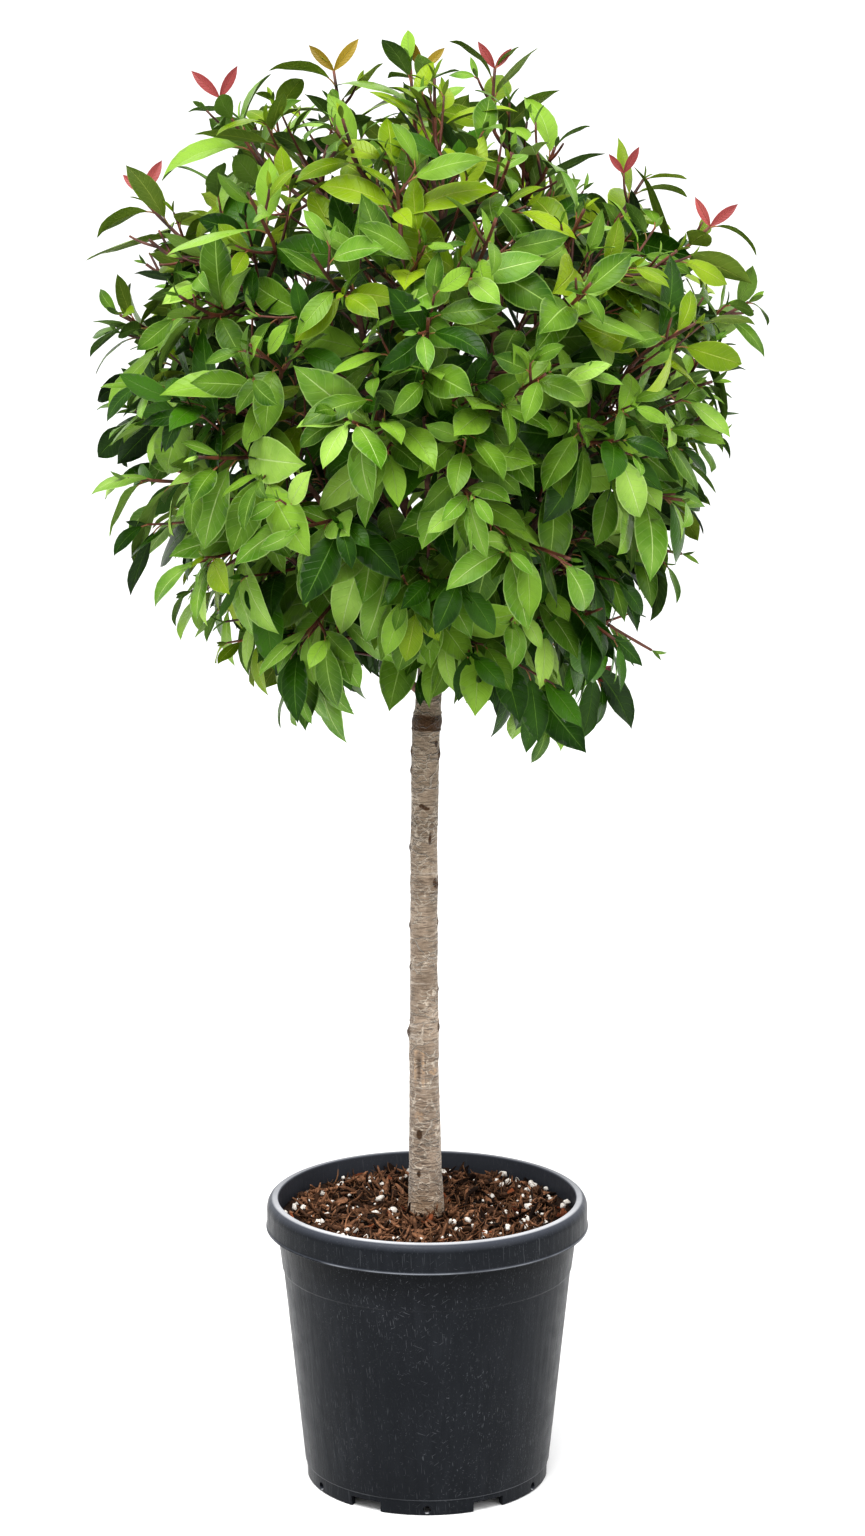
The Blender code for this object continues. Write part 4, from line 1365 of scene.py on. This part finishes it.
def pot_profile():
    """The pot's section from the middle of the base up the inside, over the rim and down to the foot."""
    collar_inside = COLLAR_TOP_RADIUS - POT_WALL
    inside = [
        (0, BASE_TOP),
        (BODY_LOW_RADIUS - POT_WALL, BASE_TOP),
        (COLLAR_LOW_RADIUS - COLLAR_STEP - POT_WALL, COLLAR_BOTTOM),
        (collar_inside, RIM_BOTTOM),
    ]
    band = RIM_RADIUS - RIM_BEAD
    wide, high = RIM_SHOULDER
    shoulder = []
    for step in range(RIM_STEPS):
        angle = math.pi / 2 * (1 - step / (RIM_STEPS - 1))
        place = (band - wide * (1 - math.cos(angle)), RIM_TOP - high * (1 - math.sin(angle)))
        shoulder.append(place)
    lip = [(collar_inside, RIM_BOTTOM), (RIM_INNER_RADIUS, RIM_TOP), shoulder[0]]
    wider, lower = FOOT_BAND_STEP
    outside = [
        shoulder[-1],
        (band, RIM_BOTTOM + RIM_BEAD_HEIGHT),
        (RIM_RADIUS, RIM_BOTTOM + RIM_BEAD_HEIGHT / 2),
        (RIM_RADIUS, RIM_BOTTOM),
        (COLLAR_TOP_RADIUS, RIM_BOTTOM),
        (COLLAR_LOW_RADIUS, COLLAR_BOTTOM),
        (COLLAR_LOW_RADIUS - COLLAR_STEP, COLLAR_BOTTOM - COLLAR_STEP),
        (BODY_LOW_RADIUS, FOOT_BAND),
        (FOOT_RADIUS + wider, FOOT_BAND - lower),
        (FOOT_RADIUS, 0),
        (FOOT_RADIUS - FOOT_WIDTH, 0),
        (FOOT_RADIUS - FOOT_WIDTH, BASE_UNDERSIDE),
        (0, BASE_UNDERSIDE),
    ]
    profile = rounded(inside, BODY_FILLET)[:-1] + rounded(lip, LIP_FILLET)[:-1]
    return profile + shoulder[:-1] + rounded(outside, BODY_FILLET)


def turned(name, profile, steps):
    """A solid of revolution from a profile that starts and ends on the axis."""
    inner = profile[1:-1]
    points = []
    for step in range(steps):
        angle = math.tau * step / steps
        points += [(r * math.cos(angle), r * math.sin(angle), z) for r, z in inner]
    points += [(0, 0, profile[0][1]), (0, 0, profile[-1][1])]
    rows = len(inner)
    faces = []
    for step in range(steps):
        here, ahead = step * rows, (step + 1) % steps * rows
        for row in range(rows - 1):
            faces.append((here + row, ahead + row, ahead + row + 1, here + row + 1))
        faces.append((len(points) - 2, ahead, here))
        faces.append((len(points) - 1, here + rows - 1, ahead + rows - 1))
    shell = Shell()
    shell.add(points, faces)
    return shell.build(name, [])


def cutter(name, points, faces, collection):
    mesh = bpy.data.meshes.new(name)
    mesh.from_pydata(points, [], faces)
    linked(name, mesh, collection)


def box_cutter(name, place, turn, size, collection):
    x, y, z = (value / 2 for value in size)
    corners = [(i, j, k) for k in (-z, z) for i, j in ((-x, -y), (x, -y), (x, y), (-x, y))]
    points = [turn @ Vector(corner) + place for corner in corners]
    faces = [(3, 2, 1, 0), (4, 5, 6, 7), (0, 1, 5, 4), (1, 2, 6, 5), (2, 3, 7, 6), (3, 0, 4, 7)]
    cutter(name, points, faces, collection)


def hole_cutter(name, place, axis, radius, depth, collection):
    line = [place - axis * depth / 2, place + axis * depth / 2]
    points = tube_points(line, [radius, radius], HOLE_SIDES)
    cutter(name, points.tolist(), tube_faces(2, HOLE_SIDES), collection)


def make_pot(look):
    """The turned pot with the foot's notches and holes and the drain holes cut out."""
    pot = turned("nursery_pot", pot_profile(), LATHE_STEPS)
    pot.data.materials.append(look)
    cutters = bpy.data.collections.new("pot cutters")
    bpy.context.scene.collection.children.link(cutters)
    size = (4 * FOOT_WIDTH, NOTCH_WIDTH, 2 * NOTCH_HEIGHT)
    for index in range(NOTCHES):
        turn = Matrix.Rotation(math.tau * index / NOTCHES, 3, "Z")
        between = Matrix.Rotation(math.tau * (index + 0.5) / NOTCHES, 3, "Z")
        outward = between @ Vector((1, 0, 0))
        box_cutter(f"notch_{index}", turn @ Vector((FOOT_RADIUS, 0, 0)), turn, size, cutters)
        spot = outward * FOOT_RADIUS + UP * FOOT_HOLE_HEIGHT
        hole_cutter(f"hole_{index}", spot, outward, FOOT_HOLE_RADIUS, 4 * FOOT_WIDTH, cutters)
        drain = turn @ Vector((DRAIN_HOLE_CIRCLE, 0, BASE_TOP))
        hole_cutter(f"drain_{index}", drain, UP, DRAIN_HOLE_RADIUS, 4 * POT_WALL, cutters)
    cut = pot.modifiers.new("openings", "BOOLEAN")
    cut.operation = "DIFFERENCE"
    cut.operand_type = "COLLECTION"
    cut.collection = cutters
    evaluated = pot.evaluated_get(bpy.context.evaluated_depsgraph_get())
    mesh = bpy.data.meshes.new_from_object(evaluated)
    pot.modifiers.clear()
    pot.data = mesh
    mesh.shade_smooth()
    mesh.set_sharp_from_angle(angle=POT_EDGE_ANGLE)
    for obj in list(cutters.objects):
        bpy.data.objects.remove(obj)
    bpy.data.collections.remove(cutters)
    return pot


# Materials
class Look:
    """A Principled material, with short ways to add the nodes that feed it."""

    def __init__(self, name, roughness, specular=0.5):
        self.material = bpy.data.materials.new(name)
        self.material.use_nodes = True
        self.tree = self.material.node_tree
        self.shader = self.tree.nodes["Principled BSDF"]
        self.shader.inputs["Roughness"].default_value = roughness
        self.shader.inputs["Specular IOR Level"].default_value = specular
        self.place = self.add("TexCoord").outputs["Object"]

    def add(self, kind, inputs=(), **settings):
        node = self.tree.nodes.new(f"ShaderNode{kind}")
        for name, value in settings.items():
            setattr(node, name, value)
        for name, value in dict(inputs).items():
            if isinstance(value, bpy.types.NodeSocket):
                self.tree.links.new(value, node.inputs[name])
            else:
                node.inputs[name].default_value = value
        return node

    def feed(self, socket, source):
        self.tree.links.new(source, self.shader.inputs[socket])

    def mapped(self, place=None, **inputs):
        """The place, or another one, turned or scaled."""
        return self.add("Mapping", {"Vector": place or self.place, **inputs}).outputs[0]

    def noise(self, scale, detail, place=None):
        inputs = {"Vector": place or self.place, "Scale": scale, "Detail": detail}
        return self.add("TexNoise", inputs).outputs[0]

    def cracks(self, scale, width, place):
        """1 on the lines of a net and 0 a width away from them."""
        inputs = {"Vector": place, "Scale": scale}
        node = self.add("TexVoronoi", inputs, feature="DISTANCE_TO_EDGE")
        return self.spread(node.outputs["Distance"], 0.0, width, 1.0, 0.0)

    def maths(self, operation, first, second=0.0):
        return self.add("Math", {0: first, 1: second}, operation=operation).outputs[0]

    def times(self, first, second):
        return self.maths("MULTIPLY", first, second)

    def plus(self, first, second):
        return self.maths("ADD", first, second)

    def vectors(self, operation, first, second):
        """A sum or product of vectors, or the number that their dot product is."""
        node = self.add("VectorMath", {0: first, 1: second}, operation=operation)
        return node.outputs["Value" if operation == "DOT_PRODUCT" else "Vector"]

    def bent(self, scale, reach):
        """The place, moved a little by a wandering vector."""
        wander = self.add("TexNoise", {"Vector": self.place, "Scale": scale}).outputs[1]
        centred = self.vectors("SUBTRACT", wander, (0.5, 0.5, 0.5))
        return self.vectors("ADD", self.place, self.vectors("MULTIPLY", centred, (reach, reach, reach)))

    def spread(self, source, low, high, start=0.0, end=1.0):
        """The source from low to high, spread over start to end and kept inside them."""
        inputs = {"Value": source, "From Min": low, "From Max": high, "To Min": start, "To Max": end}
        return self.add("MapRange", inputs).outputs[0]

    def clouds(self, scale, detail, low, high, start=0.0, end=1.0, place=None):
        """Noise from low to high, spread over start to end."""
        return self.spread(self.noise(scale, detail, place), low, high, start, end)

    def parts(self, vector):
        return self.add("SeparateXYZ", {0: vector}).outputs

    def attribute(self, name):
        return self.parts(self.add("Attribute", attribute_name=name).outputs["Vector"])

    def mix(self, share, first, second):
        inputs = {0: share}
        for index, colour in ((6, first), (7, second)):
            inputs[index] = colour if isinstance(colour, bpy.types.NodeSocket) else (*colour, 1)
        return self.add("Mix", inputs, data_type="RGBA").outputs[2]

    def base(self, share, dark, light):
        """Starts the colour, between a dark and a light one."""
        self.colour = self.mix(share, dark, light)

    def paint(self, share, colour, strength=1.0):
        """Lays a colour over the colour so far."""
        self.colour = self.mix(self.times(share, strength), self.colour, colour)

    def layers(self, patterns, table):
        """Paints each pattern in the table's order, with its strength and colour."""
        for name, (strength, colour) in table.items():
            self.paint(patterns[name], colour, strength)

    def finished(self, height, distance):
        """The material, with its colour fed in and a relief of a height pattern."""
        self.feed("Base Color", self.colour)
        bump = self.add("Bump", {"Height": height, "Distance": distance})
        self.feed("Normal", bump.outputs[0])
        return self.material


def leaf_look(name, dark, light, rib, roughness, vein_strength):
    """A leaf side: two greens, paler ribs and a quilted relief between the side veins."""
    look = Look(name, roughness, LEAF_SHINE)
    along, across, chance = look.attribute("leaf_place")
    side = look.maths("ABSOLUTE", across)
    blotches = look.times(look.clouds(38, 4, 0.35, 0.65), 0.26)
    lightness = look.times(look.maths("POWER", chance, 3.0), 0.94)
    inner = look.spread(look.plus(side, along), 0.2, 1.6, 0.30, 0.0)
    look.base(look.plus(look.plus(blotches, lightness), inner), dark, light)
    slanted = look.maths("SUBTRACT", along, look.times(side, 0.16))
    wave = look.maths("PINGPONG", look.times(slanted, 10.0), 0.5)
    vein = look.spread(wave, 0.0, 0.09, 1.0, 0.0)
    middle = look.spread(side, 0.012, 0.055, 1.0, 0.0)
    margin = look.spread(side, 0.90, 0.97)
    for pattern, strength in ((vein, vein_strength), (middle, 0.75), (margin, 0.35)):
        look.paint(pattern, rib, strength)
    look.feed("Roughness", look.clouds(60, 2, 0.3, 0.7, roughness - 0.06, roughness + 0.1))
    grooves = look.plus(look.times(vein, -0.35), look.times(middle, -0.8))
    return look.finished(look.plus(grooves, look.times(look.noise(420, 2), 0.25)), 0.0006)


def leaf_looks():
    """For each tint, the shiny upper side and the paler matt underside."""
    looks = {}
    for tint, (dark, light, rib, _) in LEAF_TINTS.items():
        pale = []
        for colour in (dark, light):
            pale.append(tuple(UNDERSIDE_SHADE * value + UNDERSIDE_BLOOM for value in colour))
        looks[tint] = [
            leaf_look(f"leaf {tint}", dark, light, rib, *UPPER_FINISH),
            leaf_look(f"leaf {tint} underside", *pale, rib, *UNDER_FINISH),
        ]
    return looks


def twig_look(name, dark, light, roughness):
    """Young bark: red-brown with paler streaks and small pale spots."""
    look = Look(name, roughness)
    look.base(look.clouds(55, 4, 0.35, 0.68), dark, light)
    look.paint(look.clouds(700, 1, 0.68, 0.74), PALE_SPOTS, 0.35)
    return look.finished(look.noise(900, 3), 0.0004)


def bark_look():
    """Pale grey-brown bark: cloudy patches, a fine net of cracks, light cross lines and dark marks."""
    look = Look("trunk bark", 0.80, 0.3)
    look.shader.inputs["Sheen Weight"].default_value = 0.25
    dark, _, height = look.attribute("bark_place")
    squeezed = look.mapped(look.bent(90, 0.012), Scale=(0.7, 0.7, 1.7))
    net = look.times(look.cracks(125, 0.12, squeezed), look.clouds(60, 3, 0.38, 0.56))
    long_lines = look.times(look.cracks(30, 0.028, squeezed), look.clouds(34, 2, 0.47, 0.55))
    cross = look.clouds(40, 5, 0.62, 0.68, place=look.mapped(Scale=(0.5, 0.5, 3.6)))
    patterns = {
        "upright streaks": look.clouds(70, 4, 0.48, 0.66, place=look.mapped(Scale=(1, 1, 0.12))),
        "net of cracks": net,
        "stripes across": look.clouds(85, 5, 0.48, 0.62, place=look.mapped(Scale=(1, 1, 7))),
        "long lines": long_lines,
        "upper trunk": look.spread(height, 0.35, 0.75),
        "pale cross lines": cross,
        "foot": look.spread(height, 0.300, 0.275),
        "young wood": look.spread(height, 0.80, 0.93),
        "dark marks": look.spread(dark, 0.08, 0.75),
        "scars": look.times(look.spread(dark, -0.05, -0.55), look.clouds(330, 4, 0.35, 0.62)),
    }
    look.base(look.clouds(26, 5, 0.32, 0.70), *TRUNK_BARK)
    look.layers(patterns, BARK_LAYERS)
    raised = look.noise(420, 5)
    for pattern, rise in ((net, 0.7), (cross, 0.6), (long_lines, 1.2)):
        raised = look.plus(raised, look.times(pattern, rise))
    return look.finished(raised, 0.0016)


def strip_look(name, colours):
    """Bark strips, each with its own shade, streaked along their length."""
    look = Look(name, 0.78, 0.12)
    shade = look.attribute("strip_place")[0]
    uneven = look.clouds(260, 4, 0.3, 0.7, 0.2, 1.0)
    look.base(look.times(look.maths("POWER", shade, 1.6), uneven), *colours)
    return look.finished(look.noise(700, 3), 0.0005)


def soil_look():
    look = Look("soil", 0.95, 0.2)
    look.base(look.clouds(320, 5, 0.35, 0.7), *SOIL)
    return look.finished(look.noise(480, 5), 0.002)


def grain_look():
    look = Look("perlite", 0.9, 0.3)
    look.base(look.clouds(600, 4, 0.35, 0.65), *PERLITE)
    return look.finished(look.noise(1400, 3), 0.0005)


def pot_look():
    """Charcoal plastic with faint streaks and scratches, paler on the rim's top and inside: painted
    reflection and painted highlights on the rim, painted light inside, and painted shade under the rim.
    """
    look = Look("pot plastic", 0.40, 0.10)
    streaks = look.noise(5, 4, look.mapped(Scale=(26, 26, 1.6)))
    dusty = look.noise(17, 5)
    look.base(look.times(look.spread(streaks, 0.35, 0.75), look.spread(dusty, 0.3, 0.7)), *PLASTIC)
    _, back, height = look.parts(look.place)
    facing = look.add("NewGeometry").outputs["Normal"]
    upward = look.parts(facing)[2]
    outward = look.vectors("DOT_PRODUCT", facing, look.vectors("MULTIPLY", look.place, (1, 1, 0)))
    under_rim = look.spread(height, RIM_BOTTOM + 0.001, RIM_BOTTOM)
    # painted highlight along the lip's top, strongest at the front
    lip_highlight = look.times(look.spread(upward, 0.84, 0.98), look.spread(dusty, 0.1, 0.6, 0.6, 1.0))
    patterns = {
        # painted light: the inside wall made paler than the plastic outside
        "inside": look.times(look.spread(outward, -0.02, -0.08), look.spread(height, 0.05, 0.12)),
        "shade under the rim": look.times(look.spread(height, COLLAR_BOTTOM, RIM_BOTTOM), under_rim),
        # painted reflection of the white sky on the upward faces
        "painted reflection on upward faces": look.spread(upward, 0.20, 0.90),
        "painted highlight on the lip": look.times(lip_highlight, look.spread(back, 0.06, -0.11, 0.35, 1.0)),
    }
    # the pale line on the rim's bead is a painted highlight, broken up by the dust noise
    bead = (RIM_BOTTOM + RIM_BEAD_HEIGHT / 2, 0.0002, look.spread(dusty, 0.35, 0.6))
    seam = (FOOT_BAND - FOOT_BAND_STEP[1] / 2, 0.0003, look.spread(dusty, 0.3, 0.6, 0.3, 1.0))
    for name, (level, core, broken) in (("painted highlight on the rim's bead", bead), ("foot's seam", seam)):
        off = look.maths("ABSOLUTE", look.maths("SUBTRACT", height, level))
        patterns[name] = look.times(look.spread(off, core, 0.0008, 1.0, 0.0), broken)
    patterns["scratches"] = scratches(look)
    look.layers(patterns, PLASTIC_LAYERS)
    look.feed("Roughness", look.clouds(60, 4, 0.3, 0.7, 0.30, 0.42))
    return look.finished(look.plus(look.times(look.noise(900, 2), 0.35), streaks), 0.0004)


def scratches(look):
    """Where the plastic is scratched: fine specks, and lines at a few slants."""
    worn = look.clouds(850, 2, 0.735, 0.79)
    for tilt, across, along, rarity in SCRATCHES:
        tilted = look.mapped(Rotation=(0, math.radians(tilt), 0))
        lines = look.noise(1, 0, look.mapped(tilted, Scale=(across, across, along)))
        worn = look.maths("MAXIMUM", worn, look.spread(lines, rarity, rarity + 0.05))
    return look.times(worn, look.clouds(9, 2, 0.25, 0.80))


# Scene
def make_camera():
    data = bpy.data.cameras.new("camera")
    data.lens = CAMERA_LENS
    data.sensor_width = CAMERA_SENSOR
    camera = linked("camera", data)
    camera.location = CAMERA_PLACE
    camera.rotation_euler = (math.pi / 2 - CAMERA_PITCH, 0, 0)
    bpy.context.scene.camera = camera


def make_floor():
    half = FLOOR_SIZE / 2
    corners = [(-half, -half, 0), (half, -half, 0), (half, half, 0), (-half, half, 0)]
    mesh = bpy.data.meshes.new("floor")
    mesh.from_pydata(corners, [], [(0, 1, 2, 3)])
    floor = linked("floor", mesh)
    floor.location.z = -FLOOR_DROP
    look = Look("floor", 0.9, 0.1)
    look.shader.inputs["Base Color"].default_value = (FLOOR_WHITE, FLOOR_WHITE, FLOOR_WHITE, 1)
    mesh.materials.append(look.material)


def make_lights():
    """A white world and soft light from above the front."""
    scene = bpy.context.scene
    scene.world = bpy.data.worlds.new("studio")
    scene.world.use_nodes = True
    background = scene.world.node_tree.nodes["Background"]
    background.inputs["Color"].default_value = (1, 1, 1, 1)
    background.inputs["Strength"].default_value = WORLD_STRENGTH
    scene.view_settings.view_transform = "Standard"
    scene.view_settings.look = "Medium High Contrast"
    for name, (place, target, size, power) in LIGHTS.items():
        data = bpy.data.lights.new(name, "AREA")
        data.shape = "RECTANGLE"
        data.size, data.size_y = size
        data.energy = power
        light = linked(name, data)
        light.location = place
        light.rotation_euler = (Vector(target) - Vector(place)).to_track_quat("-Z", "Y").to_euler()


def dress(piece, slot, *nodes):
    """Hides the parts that a piece stands for and lets it ride on the plant. The slot, its finish, is
    not used.
    """
    if nodes:
        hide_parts(*nodes)
    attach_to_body(piece, "root")


def main():
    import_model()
    make_camera()
    make_floor()
    make_lights()
    plans = plan_crown()
    boughs = [plan["bough"] for plan in plans]
    masses = [plan["mass"] for plan in plans]
    twigs, sides, leaves = grow_crown(plans)
    make_leaves(leaves, leaf_looks(), masses)
    stalks = make_petioles(leaves, twig_look("leaf stalk", *LEAF_STALK))
    dress(stalks, "foliage_middle", *masses)
    young_wood = make_twigs(twigs, sides, twig_look("young bark", *YOUNG_BARK))
    dress(young_wood, "bough_bark", *masses)
    dress(make_boughs(plans, twig_look("bough bark", *BOUGH_BARK)), "bough_bark", *boughs)
    dress(make_trunk(bark_look()), "trunk_bark", "trunk")
    dress(make_soil(soil_look()), "bark_soil", "soil")
    strip_looks = {name: strip_look(name, colours) for name, colours in STRIP_COLOURS.items()}
    for name, look, *sizes in STRIPS:
        dress(make_strips(name, *sizes, strip_looks[look]), "bark_soil", "soil")
    dress(make_grains(grain_look()), "bark_soil", "soil")
    dress(make_pot(pot_look()), "pot_plastic", "pot")
    print("leaves", len(leaves), "twigs", len(twigs), "side shoots", len(sides))


main()
